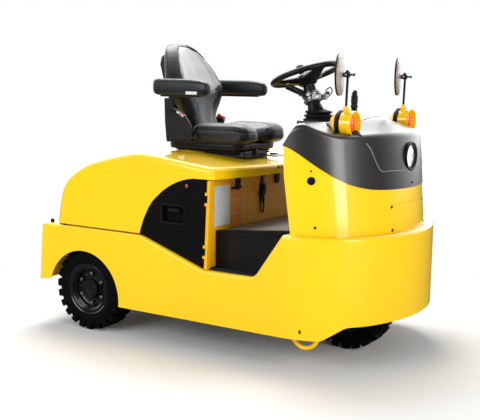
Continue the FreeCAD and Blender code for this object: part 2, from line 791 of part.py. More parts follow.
def hinge_brackets():
    brackets = []
    for y in (-hinge_y, hinge_y):
        ears = [box(hinge_x - 8, hinge_x + 8, low, low + 8, fender_height, hinge_z + 8)
                for low in (y - 14 - 9, y + 14 + 1)]
        pin = rod(V(hinge_x, y - 23, hinge_z), V(hinge_x, y + 23, hinge_z), hinge_pin_radius)
        brackets.append(fused(ears + [pin]))
    return Part.makeCompound(brackets)


pieces["hood_hinge_brackets"] = hinge_brackets()


def rubber_stops():
    deck = rod(V(tail_x + 42, 458, fender_height), V(tail_x + 42, 458, fender_height + 14), 9)
    edge = box(hood_rear_x + 40, hood_rear_x + 62, hood_half_width - 8, hood_half_width + 4,
               fender_height, fender_height + moving_gap - seat_gap)
    bumpers = [rod(V(box_front_x, y, lip_bottom - 46), V(box_front_x + 10, y, lip_bottom - 46), 11)
               for y in (-241, 91)]
    return Part.makeCompound([deck, mirrored(deck), edge, mirrored(edge)] + bumpers)


pieces["rubber_stops"] = rubber_stops()

latch_y = -38.0


def hood_latch():
    """Draw latch on the battery box: anchor, strap and pull loop."""
    face = box_front_x
    anchor = box(face, face + 14, latch_y - 14, latch_y + 14, 634, 676)
    strap = box(face, face + 8, latch_y - 5, latch_y + 5, 670, lip_bottom - moving_gap - 1)
    loop = Part.makeTorus(16, 4, V(face + 5, latch_y, 618), V(1, 0, 0))
    return fused([anchor, strap, loop])


pieces["hood_latch"] = hood_latch()


# ---------------------------------------------------------------- side doors
grip_x0, grip_x1 = step_rear_x - 220, step_rear_x - 104
grip_z0, grip_z1 = 547.0, 619.0
grip_depth = 26.0


def side_door():
    """Right-hand door: a plate with a recessed grip."""
    outer_y, inner_y = -hood_half_width, -hood_half_width + cover_sheet
    plate = door_opening().makeOffset2D(-moving_gap).translated(V(0, outer_y, 0)).extrude(V(0, cover_sheet, 0))
    cup = box(grip_x0, grip_x1, outer_y, outer_y + grip_depth, grip_z0, grip_z1)
    hollow = box(grip_x0 + 3, grip_x1 - 3, outer_y - 1, outer_y + grip_depth - 3, grip_z0 + 3, grip_z1 - 3)
    tabs = [box(door_axis_point(z).x - 14, door_axis_point(z).x, outer_y - 1.5, inner_y, z - door_knuckle,
                z + door_knuckle) for z in door_hinge_heights]
    door = fused([plate, cup] + tabs + door_knuckles()).cut(hollow)
    return door.cut(post_knuckles(door_knuckle_gap)).cut(door_pins(door_pin_radius + running_gap))


pieces["side_door_right"] = side_door()
pieces["side_door_left"] = mirrored(side_door())


# ---------------------------------------------------------------- front body
def panel_outline():
    """Side outline of the front panel, its top following the cowl's edge."""
    rear_foot = V(panel_rear_x, 0, ledge_height)
    rear_mid = V(panel_rear_x - 34, 0, ledge_height + 230)
    rear_head = V(panel_rear_x - 40, 0, cowl_rear_z)
    fall = [(-12, 889), (26, 866), (63, 839), (97, 814), (129, 791), (159, 770), (186, 752), (211, 739),
            (235, 730), (262, 724)]
    points = [rear_head] + [V(panel_rear_x + x, 0, z) for x, z in fall]
    points.append(V(front_panel_x + 20, 0, cowl_front_z))
    front_foot = V(front_panel_x + 20, 0, ledge_height)
    edges = [Part.makeLine(rear_foot, rear_mid), Part.makeLine(rear_mid, rear_head), smooth_edge(points),
             Part.makeLine(points[-1], front_foot), Part.makeLine(front_foot, rear_foot)]
    return Part.Face(Part.Wire(edges))


def across_width(face):
    return face.extrude(V(0, overall_width + 100, 0)).translated(V(0, -half_width - 50, 0))


access_top = ledge_height + 112
access_bottom = ledge_height + 3
access_gap = 0.6


def front_sheet():
    return front_walls(0, ledge_height, 950).cut(front_walls(cover_sheet, ledge_height - 10, 960))


def access_window(gap):
    half = access_half_width - gap
    return box(front_panel_x - 110, nose_x, -half, half, access_bottom + gap, access_top - gap)


def front_panel():
    return front_sheet().common(across_width(panel_outline())).cut(access_window(0))


def front_access_panel():
    return front_sheet().common(access_window(access_gap))


pieces["front_panel"] = front_panel()
pieces["front_access_panel"] = front_access_panel()

console_half_width = 74.0
console_rear_x = column_foot.x - 66


cowl_wall = 6.0
cowl_shoulder = 22.0            # radius of the cowl's shoulder


def cowl_stations(inset):
    """(x, side height, middle height) of the cowl's domed top."""
    stations = [(-80, 958, 940), (0, 980, 978), (72, 966, 1000), (130, 943, 1003), (180, 934, 986),
                (225, 930, 966), (270, 929, 945), (330, 926, 915)]
    return [(panel_rear_x + x, side_z - inset, middle_z - inset) for x, side_z, middle_z in stations]


def cowl_back(inset):
    """Everything in front of the cowl's sloping back."""
    rear = panel_rear_x - 41 + inset
    slope = 0.6
    corners = [(rear, 680, 0), (rear, cowl_rear_z, 0), (rear + (1040 - cowl_rear_z) * slope, 1040, 0),
               (nose_x + 50, 1040, 0), (nose_x + 50, 680, 0)]
    return side_prism(corners, -half_width - 50, half_width + 50)


def cowl_block(inset):
    """Outer form of the cowl, or its hollow."""
    crown = crowned(cowl_stations(inset), half_width + 20, 0.76)
    block = front_walls(inset - cowl_overhang, 690, 1030).common(crown)
    shoulder = rim_edges(block, lambda middle: middle.x > panel_rear_x - 60)
    return block.makeFillet(cowl_shoulder - inset, shoulder).common(cowl_back(inset))


cowl_outer = cowl_block(0)
cowl_skin = cowl_outer.translated(V(0, 0, seat_gap))
knee_z = column_foot.z - 116    # lower edge of the dash


def cowl():
    knee_room = box(panel_rear_x - 60, panel_rear_x + 10, -half_width, half_width, 680, knee_z)
    shell = cowl_outer.cut(cowl_block(cowl_wall)).cut(knee_room)
    below = across_width(panel_outline()).translated(V(0, 0, seat_gap))
    below = fused([below, below.translated(V(-4, 0, -1))])
    shell = shell.cut(below)
    hole = rod(V(lamp_face_x - 70, 0, lamp_z), V(nose_x, 0, lamp_z), lamp_radius + 0.5)
    console = box(console_rear_x, panel_rear_x + 10, -console_half_width, console_half_width,
                  column_foot.z - 140, column_foot.z)
    solids = shell.cut(hole)
    solids = solids.fuse(console).removeSplitter()
    column_hole = rod(column_foot - column_axis * 200, column_foot + column_axis * 30, column_radius + seat_gap)
    return solids.cut(column_hole)


pieces["dash_cowl"] = cowl()


# ---------------------------------------------------------------- headlight
def headlight():
    body = rod(V(lamp_face_x - 58, 0, lamp_z), V(lamp_face_x, 0, lamp_z), lamp_radius)
    return body.cut(rod(V(lamp_face_x - 30, 0, lamp_z), V(lamp_face_x + 1, 0, lamp_z), lamp_radius - lamp_rim))


pieces["headlight_housing"] = headlight()
pieces["headlight_lens"] = rod(
    V(lamp_face_x - 14, 0, lamp_z), V(lamp_face_x - 6, 0, lamp_z), lamp_radius - lamp_rim - seat_gap)


# ---------------------------------------------------------------- steering column and wheel
def along_column(distance):
    return column_foot + column_axis * distance


def steering_column():
    tube = rod(along_column(-120), along_column(92), column_radius)
    clamp = rod(along_column(80), along_column(128), 36)
    head = rod(along_column(126), along_column(160), 27)
    bracket = box(column_foot.x - 8, panel_rear_x, -20, 20, column_foot.z - 130, column_foot.z - 100)
    bore = rod(along_column(100), along_column(170), shaft_radius + running_gap)
    return fused([tube, clamp, head]).cut(bore)


pieces["steering_column"] = steering_column()


def column_boot():
    rings = [(30, 0), (64, 0), (64, 7), (54, 11), (61, 18), (61, 25), (50, 29), (56, 36), (56, 43), (30, 43)]
    solid = revolved(rings, column_foot, V(0, 0, 1), V(1, 0, 0))
    return solid.cut(rod(along_column(-20), along_column(92), column_radius + seat_gap))


pieces["column_boot"] = column_boot()


def steering_wheel():
    centre = along_column(wheel_distance)
    rim = Part.makeTorus(wheel_radius, wheel_grip_radius, centre, column_axis)
    hub = rod(along_column(160 + seat_gap), along_column(wheel_distance + 4), 34)
    shaft = rod(along_column(104), along_column(164), shaft_radius)
    spokes = []
    for degrees in (90, 210, 330):
        angle = math.radians(degrees)
        side = V(math.cos(column_lean), 0, math.sin(column_lean)) * math.cos(angle) + V(0, 1, 0) * math.sin(angle)
        spokes.append(rod(along_column(wheel_distance - 22) + side * 20, centre + side * (wheel_radius - 4), 9))
    knob_way = V(math.cos(column_lean), 0, math.sin(column_lean)) * -0.5 + V(0, 0.866, 0)
    knob_foot = centre + knob_way * wheel_radius
    knob = rod(knob_foot, knob_foot + column_axis * 44, 9).fuse(ball(knob_foot + column_axis * 46, 20))
    return fused([rim, hub, shaft, knob] + spokes)


pieces["steering_wheel"] = steering_wheel()


def column_levers():
    """Direction lever on the right of the column and a tilt lever on its left."""
    root = along_column(104)
    right = rod(root + V(0, -30, 0), root + V(-70, -86, 44), 7).fuse(ball(root + V(-70, -86, 44), 9))
    left = rod(root + V(10, 30, 0), root + V(40, 70, 20), 5).fuse(ball(root + V(40, 70, 20), 8))
    return Part.makeCompound([shape.cut(rod(along_column(70), along_column(140), 36 + seat_gap))
                              for shape in (right, left)])


pieces["column_levers"] = column_levers()


# ---------------------------------------------------------------- signals and mirrors
def signal_profile():
    half = signal_length / 2
    return [(0, -half), (30, -half), (signal_radius, -half + 26), (signal_radius, half - 6),
            (signal_radius - 4, half), (signal_radius - 8, half), (signal_radius - 8, half - 10), (0, half - 10)]


def turn_signal():
    centre = V(signal_x, signal_y, signal_z)
    lamp = revolved(signal_profile(), centre, V(1, 0, 0), V(0, 0, 1))
    foot = box(signal_x - 36, signal_x + 36, signal_y - 26, signal_y + 26, signal_z - 60, signal_z - 38)
    solid = lamp.fuse(foot).cut(cowl_skin)
    return solid


pieces["turn_signals"] = both_sides(turn_signal())
lens_front = signal_x + signal_length / 2 - 2
pieces["turn_signal_lenses"] = both_sides(rod(
    V(lens_front - 7.7, signal_y, signal_z), V(lens_front, signal_y, signal_z), signal_radius - 8 - seat_gap
).cut(cowl_skin))

post_x = signal_x + 10
post_foot_z = signal_z + signal_radius - 2


def mirror_arms():
    foot = V(post_x, signal_y, post_foot_z)
    joint = foot + V(0, 0, 12)
    top = V(post_x + 4, signal_y, mirror_z + 14)
    cross = V(post_x + 22, signal_y, mirror_z)
    hold = V(post_x - 22, signal_y, mirror_z)
    arm = fused([rod(foot, joint, 7), ball(joint, 10), rod(joint, top, 5), rod(hold, cross, 4)])
    return arm.cut(rod(V(signal_x - 60, signal_y, signal_z), V(signal_x + 60, signal_y, signal_z), signal_radius))


pieces["mirror_arms"] = both_sides(mirror_arms())


def mirror_disc(side):
    """Round mirror body with a shallow recess for its glass, its back towards the front."""
    back_way = V(math.cos(mirror_yaw), math.sin(mirror_yaw), 0)
    back = V(post_x - 22.5, side * signal_y, mirror_z)
    face = back - back_way * 14
    solid = rod(face, back, mirror_radius)
    glass_foot = face + back_way * 3
    hollow = rod(face - back_way, glass_foot, mirror_radius - 5)
    glass = rod(face + back_way * 0.5, glass_foot, mirror_radius - 5 - seat_gap)
    return solid.cut(hollow), glass


mirror_bodies = [mirror_disc(side) for side in (-1, 1)]
pieces["mirrors"] = Part.makeCompound([body for body, glass in mirror_bodies])
pieces["mirror_glass"] = Part.makeCompound([glass for body, glass in mirror_bodies])
arms = pieces["mirror_arms"]
for body, glass in mirror_bodies:
    arms = arms.cut(body)
pieces["mirror_arms"] = arms


# ---------------------------------------------------------------- controls on the dash
brake_x = nose_x - 254
brake_y = -150.0


def parking_brake():
    foot = V(brake_x, brake_y, 940)
    top = V(brake_x + 2, brake_y, 1104)
    lever = rod(foot, top, 9).fuse(ball(top, 9)).cut(cowl_skin)
    grips = [rod(V(brake_x, brake_y, z), V(brake_x, brake_y, z + 9), 14) for z in (1024, 1046, 1068)]
    return fused([lever] + grips)


pieces["parking_brake_lever"] = parking_brake()

pedal_x = nose_x - 256


def pedals():
    solids = []
    for y, height in ((-70, 70), (60, 84)):
        foot = floor_z(pedal_x)
        leg = box(pedal_x, pedal_x + 8, y - 8, y + 8, foot - 0.5, foot + height + 10)
        leg = leg.cut(pieces["floor_mats"]).cut(pieces["floor_pan"])
        pad = side_prism([(pedal_x - 34, foot + height - 34, 0), (pedal_x + 6, foot + height + 22, 0),
                          (pedal_x + 10, foot + height + 18, 0), (pedal_x - 30, foot + height - 38, 0)],
                         y - 32, y + 32)
        solids.append(leg.fuse(pad).removeSplitter())
    return Part.makeCompound(solids)


pieces["floor_mats"] = pieces["floor_mats"].cut(
    box(pedal_x - 2, pedal_x + 10, -80, 70, 500, 640))
pieces["pedals"] = pedals()


# ---------------------------------------------------------------- seat
hood_solid = hood_body(0)


guard_inner = backrest_half_width + 22      # the covers beside the seat's recliners
guard_outer = guard_inner + 12


def seat_base():
    """Suspension case, the pans on it and the two recliner covers."""
    front = seat_rear_x + seat_base_length
    case = box(seat_rear_x, front, -seat_base_half_width, seat_base_half_width, hood_top - 60, seat_base_top)
    case = case.common(side_prism([(seat_rear_x, 760, 0), (seat_rear_x, seat_base_top - 22, 0),
                                   (seat_rear_x + 14, seat_base_top, 0), (front - 14, seat_base_top - 8, 0),
                                   (front, seat_base_top - 26, 0), (front - 12, 760, 0)],
                                  -seat_base_half_width, seat_base_half_width))
    pan = box(seat_rear_x + 130, front - 40, -110, 110, seat_base_top - 12, cushion_bottom - seat_gap)
    frame = box(seat_rear_x + 40, seat_rear_x + 130, -100, 100, seat_base_top - 12, cushion_bottom - seat_gap)
    plate = box(seat_rear_x + 10, seat_rear_x + 60, -guard_outer, guard_outer, cushion_bottom - 12,
                cushion_bottom - seat_gap)
    guard = side_prism([(seat_rear_x, 866, 8), (seat_rear_x, 1062, 16), (seat_rear_x + 50, 1062, 16),
                        (seat_rear_x + 78, 1000, 30), (seat_rear_x + 150, 984, 50), (seat_rear_x + 172, 866, 20)],
                       guard_inner, guard_outer)
    return fused([case, pan, frame, plate, guard, mirrored(guard)]).cut(hood_solid.translated(V(0, 0, seat_gap)))


pieces["seat_suspension"] = seat_base()

cushion_rear_x = seat_rear_x + 164
cushion_front_x = seat_rear_x + 470


def seat_cushion():
    half = cushion_half_width
    corners = [(cushion_rear_x, -half, 20), (cushion_rear_x, half, 20), (cushion_front_x - 120, half, 60),
               (cushion_front_x, half - 24, 50), (cushion_front_x, -half + 24, 50),
               (cushion_front_x - 120, -half, 60)]
    return plan_prism(corners, cushion_bottom, cushion_top)


pieces["seat_cushion"] = seat_cushion()


def seat_backrest():
    rear = [(46, cushion_bottom), (30, 980), (16, 1069), (-11, 1238), (-38, 1316)]
    front = [(-18, 1322), (40, 1250), (88, 1100), (110, 1000), (150, cushion_bottom)]
    corners = [(seat_rear_x + x, z, 0) for x, z in rear + front]
    solid = side_prism(corners, -backrest_half_width, backrest_half_width)
    half = backrest_half_width
    waist = half - 75
    edge = [(waist, 860, 0), (waist, 985, 40), (half, 1075, 40), (half, 1170, 80), (half - 95, 1322, 50)]
    outline = edge + [(-y, z, radius) for y, z, radius in reversed(edge)]
    wire = rounded_wire([(V(seat_rear_x - 100, y, z), radius) for y, z, radius in outline])
    return solid.common(Part.Face(wire).extrude(V(400, 0, 0)))


pieces["seat_backrest"] = seat_backrest()


def back_shell():
    outline = [(10, 960), (-30, 1040), (-66, 1160), (-88, 1240), (-60, 1262), (-40, 1270), (-11, 1238),
               (16, 1069), (30, 980)]
    solid = side_prism([(seat_rear_x + x, z, 0) for x, z in outline], -150, 150)
    return solid.cut(pieces["seat_backrest"])


pieces["seat_back_shell"] = back_shell()


def armrest(side):
    inner, outer = armrest_y - armrest_width / 2, armrest_y + armrest_width / 2
    x0, x1 = seat_rear_x - 15, seat_rear_x + 285
    body = side_prism([(x0, 1152, 18), (x1 - 60, 1150, 60), (x1, 1124, 26), (x1 - 16, 1084, 20),
                       (x0 + 40, 1078, 24), (x0, 1100, 20)], inner, outer)
    boss = rod(V(armrest_pivot.x, backrest_half_width + seat_gap, armrest_pivot.z),
               V(armrest_pivot.x, inner + 1, armrest_pivot.z), 17)
    solid = body.fuse(boss).removeSplitter()
    return solid if side > 0 else mirrored(solid)


pieces["armrest_right"] = armrest(-1)
pieces["armrest_left"] = armrest(1)


def seat_belt():
    """Buckle stalk on the left and the belt's tongue and anchor on the right."""
    x = seat_rear_x + 92
    inner = backrest_half_width + 8
    stalk = box(x, x + 22, inner, inner + 6, 842, 950)
    foot = box(x, x + 22, seat_base_half_width + seat_gap, inner + 6, 842, 848)
    buckle = box(x - 4, x + 30, inner - 6, inner + 12, 948, 990)
    left = fused([stalk, foot, buckle])
    return Part.makeCompound([left, mirrored(left)])


pieces["seat_belt"] = seat_belt()


def slide_bar():
    front = seat_rear_x + seat_base_length - 13
    z = hood_top - 14
    near, far = V(front, 20, z), V(front, 96, z)
    reach = V(78, 0, -4)
    legs = [rod(near, near + reach, 5), rod(far, far + reach, 5), rod(near + reach, far + reach, 5)]
    return fused(legs + [ball(near + reach, 5), ball(far + reach, 5)]).cut(hood_solid).cut(
        pieces["seat_suspension"])


pieces["seat_slide_bar"] = slide_bar()

# ---------------------------------------------------------------- files
os.makedirs("parts", exist_ok=True)
for name, shape in pieces.items():
    shape.exportStep("parts/" + name + ".step")
    solids = len(shape.Solids)
    print(name, "solids", solids, "valid", shape.isValid(), "volume", round(shape.Volume / 1e6, 3))
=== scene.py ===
import json
import logging
import math
from dataclasses import dataclass, field
from enum import Enum
from typing import Any, Sequence

import bmesh
import bpy
from mathutils import Matrix, Vector
from mathutils.bvhtree import BVHTree
from mathutils.kdtree import KDTree

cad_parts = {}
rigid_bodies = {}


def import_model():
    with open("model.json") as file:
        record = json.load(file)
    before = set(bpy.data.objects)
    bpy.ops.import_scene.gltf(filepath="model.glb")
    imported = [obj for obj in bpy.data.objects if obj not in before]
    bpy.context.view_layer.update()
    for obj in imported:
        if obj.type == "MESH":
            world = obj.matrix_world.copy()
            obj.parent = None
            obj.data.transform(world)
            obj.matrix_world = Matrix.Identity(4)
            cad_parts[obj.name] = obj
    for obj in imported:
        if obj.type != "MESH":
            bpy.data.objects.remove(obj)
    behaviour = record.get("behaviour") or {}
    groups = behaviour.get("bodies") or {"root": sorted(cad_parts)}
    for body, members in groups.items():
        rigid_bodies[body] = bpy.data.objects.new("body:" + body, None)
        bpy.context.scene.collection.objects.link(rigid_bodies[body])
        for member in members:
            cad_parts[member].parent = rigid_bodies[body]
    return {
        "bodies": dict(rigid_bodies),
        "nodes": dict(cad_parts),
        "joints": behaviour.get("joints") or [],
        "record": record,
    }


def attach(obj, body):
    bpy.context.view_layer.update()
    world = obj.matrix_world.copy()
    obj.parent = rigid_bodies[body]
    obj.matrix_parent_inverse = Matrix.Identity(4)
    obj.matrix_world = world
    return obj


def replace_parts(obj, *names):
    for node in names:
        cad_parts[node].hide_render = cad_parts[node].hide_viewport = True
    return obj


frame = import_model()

log = logging.getLogger("tow_tractor")

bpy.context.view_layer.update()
# One millimetre, in metres.
MM = 0.001
# From this share of metal on, a finish takes its reflection from its colour.
HALF_METAL = 0.5
# The wave pattern's scale that gives one rib per metre.
WAVES_PER_RIB = 0.314
# A face whose normal has this much of a direction looks that way.
FLAT = 0.9
# Facets round a wheel.
FINE_SIDES = 96
# Points closer than this are one point, and a turned profile ends this close to its axis, in millimetres.
WELD_MM = 0.002
ON_AXIS = 0.01
# The rim's rolled edge, as radius and distance outwards.
BEAD_LIP = ((117.4, 52.1), (118.2, 53.0), (117.6, 54.8), (115.4, 55.4), (113.0, 54.2), (111.6, 53.2))
Point = tuple[float, float, float] | Vector
Hit = tuple[Vector, Vector]
Profile = Sequence[tuple[float, float]]
SIDES = ((-1, "right"), (1, "left"))
ASSEMBLIES: list[Any] = []


# ---------------------------------------------------------------- colour and node helpers
def linear(hex_colour: str) -> tuple[float, float, float, float]:
    """Turns an sRGB hex colour into linear light.

    Args:
        hex_colour: six hex digits, with or without a leading #.

    Returns:
        Red, green, blue and an alpha of 1.
    """
    digits = hex_colour.lstrip("#")
    channels = [int(digits[i:i + 2], 16) / 255 for i in (0, 2, 4)]
    light = [c / 12.92 if c <= 0.04045 else ((c + 0.055) / 1.055) ** 2.4 for c in channels]
    return (light[0], light[1], light[2], 1.0)


def add(tree: bpy.types.NodeTree, kind: str, settings: dict[Any, Any] | None = None,
        links: dict[Any, Any] | None = None) -> bpy.types.Node:
    """Adds one node with its settings and links.

    Args:
        tree: the node tree to add to.
        kind: the node's type name.
        settings: attribute names or input names/numbers, with their values.
        links: input names/numbers, with the output sockets that feed them.

    Returns:
        The new node.
    """
    made = tree.nodes.new(kind)
    for key, value in (settings or {}).items():
        if isinstance(key, str) and hasattr(made, key):
            setattr(made, key, value)
        else:
            made.inputs[key].default_value = value
    for key, source in (links or {}).items():
        tree.links.new(source, made.inputs[key])
    return made


class Grain(Enum):
    """The kind of a surface's fine bumps."""

    NOISE = "noise"
    CELLS = "cells"


# ---------------------------------------------------------------- finishes
@dataclass(frozen=True)
class Finish:
    """A surface finish: what it is made of and how its surface was made.

    The grain is the size and the depth of its fine bumps, the mottle is a second colour, its
    share and the size of its slow patches, all in millimetres, and the gloss varies with them.
    """

    name: str
    colour: str
    roughness: float
    grain: tuple[float, float]
    mottle: tuple[str, float, float]
    gloss_spread: float = 0.05
    metallic: float = 0.0
    coat: float = 0.0
    coat_roughness: float = 0.05
    ior: float = 1.5
    specular: float = 0.5
    sheen: float = 0.0
    grain_kind: Grain = Grain.NOISE
    transmission: float = 0.0

    def bumps(self, tree: bpy.types.NodeTree, place: bpy.types.NodeSocket) -> bpy.types.NodeSocket:
        """Builds the height of the fine grain.

        Args:
            tree: the material's tree.
            place: the coordinates of the surface.

        Returns:
            The socket that carries the height.
        """
        scale = 1 / (self.grain[0] * MM)
        if self.grain_kind is Grain.CELLS:
            cells = add(tree, "ShaderNodeTexVoronoi",
                {"feature": "DISTANCE_TO_EDGE", "Scale": scale, "Randomness": 0.9}, {"Vector": place})
            return add(tree, "ShaderNodeMapRange", {"From Max": 0.25},
                {"Value": cells.outputs["Distance"]}).outputs["Result"]
        noise = add(tree, "ShaderNodeTexNoise", {"Scale": scale, "Detail": 3.0, "Roughness": 0.6},
            {"Vector": place})
        return noise.outputs["Fac"]

    def build(self) -> bpy.types.Material:
        """Builds the material, once.

        Returns:
            The material with this finish's name.
        """
        known = bpy.data.materials.get(self.name)
        if known is not None:
            return known
        material = bpy.data.materials.new(self.name)
        material.use_nodes = True
        tree = material.node_tree
        shader = tree.nodes["Principled BSDF"]
        values = {"Base Color": linear(self.colour), "Roughness": self.roughness, "Metallic": self.metallic,
            "Coat Weight": self.coat, "Coat Roughness": self.coat_roughness, "Sheen Weight": self.sheen,
            "Transmission Weight": self.transmission}
        if self.metallic < HALF_METAL:
            values |= {"IOR": self.ior, "Specular IOR Level": self.specular}
        for name, value in values.items():
            shader.inputs[name].default_value = value
        place = add(tree, "ShaderNodeTexCoord").outputs["Object"]
        second, share, patch = self.mottle
        slow = add(tree, "ShaderNodeTexNoise", {"Scale": 1 / (patch * MM), "Detail": 4.0, "Roughness": 0.55},
            {"Vector": place}).outputs["Fac"]
        dusty = add(tree, "ShaderNodeMapRange", {"From Min": 0.35, "From Max": 0.75, "To Max": share},
            {"Value": slow})
        mixed = add(tree, "ShaderNodeMix", {"data_type": "RGBA", 6: linear(self.colour), 7: linear(second)},
            {0: dusty.outputs["Result"]})
        tree.links.new(mixed.outputs[2], shader.inputs["Base Color"])
        if self.gloss_spread:
            gloss = add(tree, "ShaderNodeMapRange",
                {"From Min": 0.3, "From Max": 0.7, "To Min": max(self.roughness - self.gloss_spread, 0.02),
                "To Max": self.roughness + self.gloss_spread}, {"Value": slow})
            tree.links.new(gloss.outputs["Result"], shader.inputs["Roughness"])
        bump = add(tree, "ShaderNodeBump", {"Strength": 1.0, "Distance": self.grain[1] * MM},
            {"Height": self.bumps(tree, place)})
        tree.links.new(bump.outputs["Normal"], shader.inputs["Normal"])
        return material


@dataclass(frozen=True)
class PaintedGlowFinish(Finish):
    """A finish that also shines a little: a painted glow that stands in for light sent back by a lens and the
    reflector behind it.
    """

    painted_glow: float = 0.0

    def build(self) -> bpy.types.Material:
        """Builds the material and gives it its painted glow."""
        material = super().build()
        shader = material.node_tree.nodes["Principled BSDF"]
        shader.inputs["Emission Color"].default_value = linear(self.colour)
        shader.inputs["Emission Strength"].default_value = self.painted_glow
        return material


@dataclass(frozen=True)
class Ribbed(Finish):
    """A moulded rubber with parallel ribs across one direction."""

    rib_mm: float = 12.0
    across: str = "Y"

    def bumps(self, tree: bpy.types.NodeTree, place: bpy.types.NodeSocket) -> bpy.types.NodeSocket:
        """Builds the height of the ribs with a fine grit on them."""
        wave = add(tree, "ShaderNodeTexWave",
            {"bands_direction": self.across, "wave_profile": "SIN", "Scale": WAVES_PER_RIB / (self.rib_mm * MM),
            "Distortion": 0.0}, {"Vector": place})
        grit = add(tree, "ShaderNodeTexNoise", {"Scale": 1 / (1.6 * MM), "Detail": 2.0}, {"Vector": place})
        fine = add(tree, "ShaderNodeMath", {"operation": "MULTIPLY", 1: 0.12}, {0: grit.outputs["Fac"]})
        total = add(tree, "ShaderNodeMath", {"operation": "ADD"}, {0: wave.outputs["Fac"], 1: fine.outputs[0]})
        return total.outputs[0]


# Baked two-pack enamel on pressed steel: a smooth gloss coat with faint orange peel.
YELLOW_ENAMEL = Finish("yellow_enamel_on_steel", "#FDCE00", 0.42, (9.0, 0.012), ("#F7C400", 0.5, 420.0),
    coat=0.8, coat_roughness=0.12, specular=0.25)
# The same enamel inside the foot well and arches, thinner and a little duller, its colour painted darker and
# more orange as painted shade.
YELLOW_ENAMEL_PAINTED_SHADE = Finish("yellow_enamel_painted_shade", "#F6B508", 0.42, (7.0, 0.015), ("#E39E0A", 0.6, 260.0),
    0.06, coat=0.2, coat_roughness=0.15, specular=0.3)
# Polyester powder coat: a fine, even, satin black texture.
BLACK_POWDER_COAT = Finish("black_powder_coat", "#0B0C0E", 0.42, (1.8, 0.03), ("#131417", 0.6, 60.0),
    specular=0.25)
# Chassis paint over blasted plate: dull black with slow dusty patches.
CHASSIS_PAINT = Finish("chassis_paint_on_plate", "#1A1B1C", 0.55, (3.0, 0.05), ("#33312D", 0.5, 90.0), 0.08,
    specular=0.25)
# Cast iron under paint: a coarse sand-cast skin.
PAINTED_CASTING = Finish("painted_sand_casting", "#1D1F21", 0.5, (4.5, 0.22), ("#2E2F2F", 0.6, 50.0), 0.08,
    specular=0.25)
# Anti-slip tread on the steps: blue-grey and worn.
STEP_TREAD = Finish("anti_slip_step_tread", "#323C45", 0.5, (2.2, 0.15), ("#46525C", 0.7, 30.0), 0.08,
    specular=0.3)
# Textured door coating: a dead black that gives nearly no shine.
DOOR_COATING = Finish("textured_door_coating", "#050506", 0.62, (1.8, 0.05), ("#0A0A0B", 0.5, 70.0), 0.06,
    specular=0.1)
# A pale painted highlight along a pressed edge of the vacuum-formed skin, shown as a thin line.
PAINTED_EDGE_HIGHLIGHT = Finish("abs_edge_painted_highlight", "#8F8A86", 0.5, (1.0, 0.02), ("#A39E99", 0.5, 20.0))
# Vacuum-formed ABS cowl: a brown-grey gloss skin over a leather-like grain.
COWL_ABS = Finish("vacuum_formed_abs", "#1B1817", 0.38, (1.6, 0.012), ("#292423", 0.5, 160.0), 0.04, coat=0.9,
    coat_roughness=0.28, specular=0.45)
# Moulded ABS or nylon trim: black, satin, with a fine spark-eroded grain.
BLACK_MOULDING = Finish("moulded_black_abs", "#0D0E10", 0.4, (1.3, 0.03), ("#17181B", 0.5, 40.0), 0.06,
    specular=0.25)
# Polypropylene seat shell: a slightly greyer, duller moulding.
SEAT_SHELL_PP = Finish("moulded_polypropylene", "#151619", 0.5, (1.5, 0.05), ("#1C1E22", 0.5, 60.0), 0.07,
    specular=0.25)
# Vinyl-coated seat cloth: embossed leather cells and a soft cool sheen.
SEAT_VINYL = Finish("embossed_seat_vinyl", "#0E1319", 0.42, (3.2, 0.10), ("#141B23", 0.6, 90.0), 0.07,
    coat=0.12, coat_roughness=0.3, sheen=0.08, grain_kind=Grain.CELLS, specular=0.35)
# The seat's middle panels: the same vinyl in a lighter grey; on the cushion's top middle the grey is a painted
# highlight.
SEAT_VINYL_GREY_AND_PAINTED_HIGHLIGHT = Finish("embossed_grey_seat_vinyl_and_painted_highlight", "#4B4E53", 0.4, (3.2, 0.10), ("#696C71", 0.6, 90.0), 0.07,
    coat=0.1, coat_roughness=0.35, sheen=0.1, grain_kind=Grain.CELLS, specular=0.5)
# The backrest's crown panel: the grey vinyl painted paler as a painted highlight where light falls on the
# crown, with a soft satin shine.
SEAT_VINYL_PAINTED_HIGHLIGHT = Finish("grey_seat_vinyl_painted_highlight", "#B2B4B6", 0.36, (3.2, 0.08), ("#BCBEC0", 0.5, 110.0),
    0.06, coat=0.15, coat_roughness=0.3, sheen=0.1, grain_kind=Grain.CELLS, specular=0.5)
# Vulcanised rubber: deep, dull black with a dusty bloom.
TYRE_RUBBER = Finish("vulcanised_tyre_rubber", "#060606", 0.68, (2.4, 0.08), ("#0D0C0B", 0.7, 55.0), 0.1,
    specular=0.08)
MOULDED_RUBBER = Finish("moulded_rubber", "#0C0C0C", 0.6, (1.6, 0.05), ("#141312", 0.6, 40.0), 0.08,
    specular=0.18)
# Ribbed floor matting, tan with trodden-in dust.
FLOOR_MATTING = Ribbed("ribbed_floor_matting", "#5E5646", 0.62, (12.0, 1.6), ("#82785F", 0.75, 70.0), 0.1,
    rib_mm=14.0)
# Stove enamel on pressed wheel discs: blue-black and glossy.
WHEEL_ENAMEL = Finish("stove_enamel_on_wheel_disc", "#0A0C0F", 0.24, (6.0, 0.015), ("#10151A", 0.5, 60.0),
    coat=0.6, coat_roughness=0.08, specular=0.35)
# Zinc-plated steel with a faint red-brown wax on it.
ZINC_FASTENER = Finish("zinc_plated_steel", "#CFC8C6", 0.28, (2.0, 0.02), ("#B3908B", 0.7, 9.0), 0.08,
    metallic=1.0)
# Turned or drawn steel, wiped with oil.
TURNED_STEEL = Finish("turned_steel", "#A7A8A8", 0.26, (1.2, 0.01), ("#84827E", 0.5, 30.0), 0.07, metallic=1.0)
# Die-cast aluminium, shot-blasted: bright but not mirror-like.
DIE_CAST_ALUMINIUM = Finish("die_cast_aluminium", "#8E9194", 0.33, (1.6, 0.04), ("#74777A", 0.5, 18.0), 0.07,
    metallic=1.0)
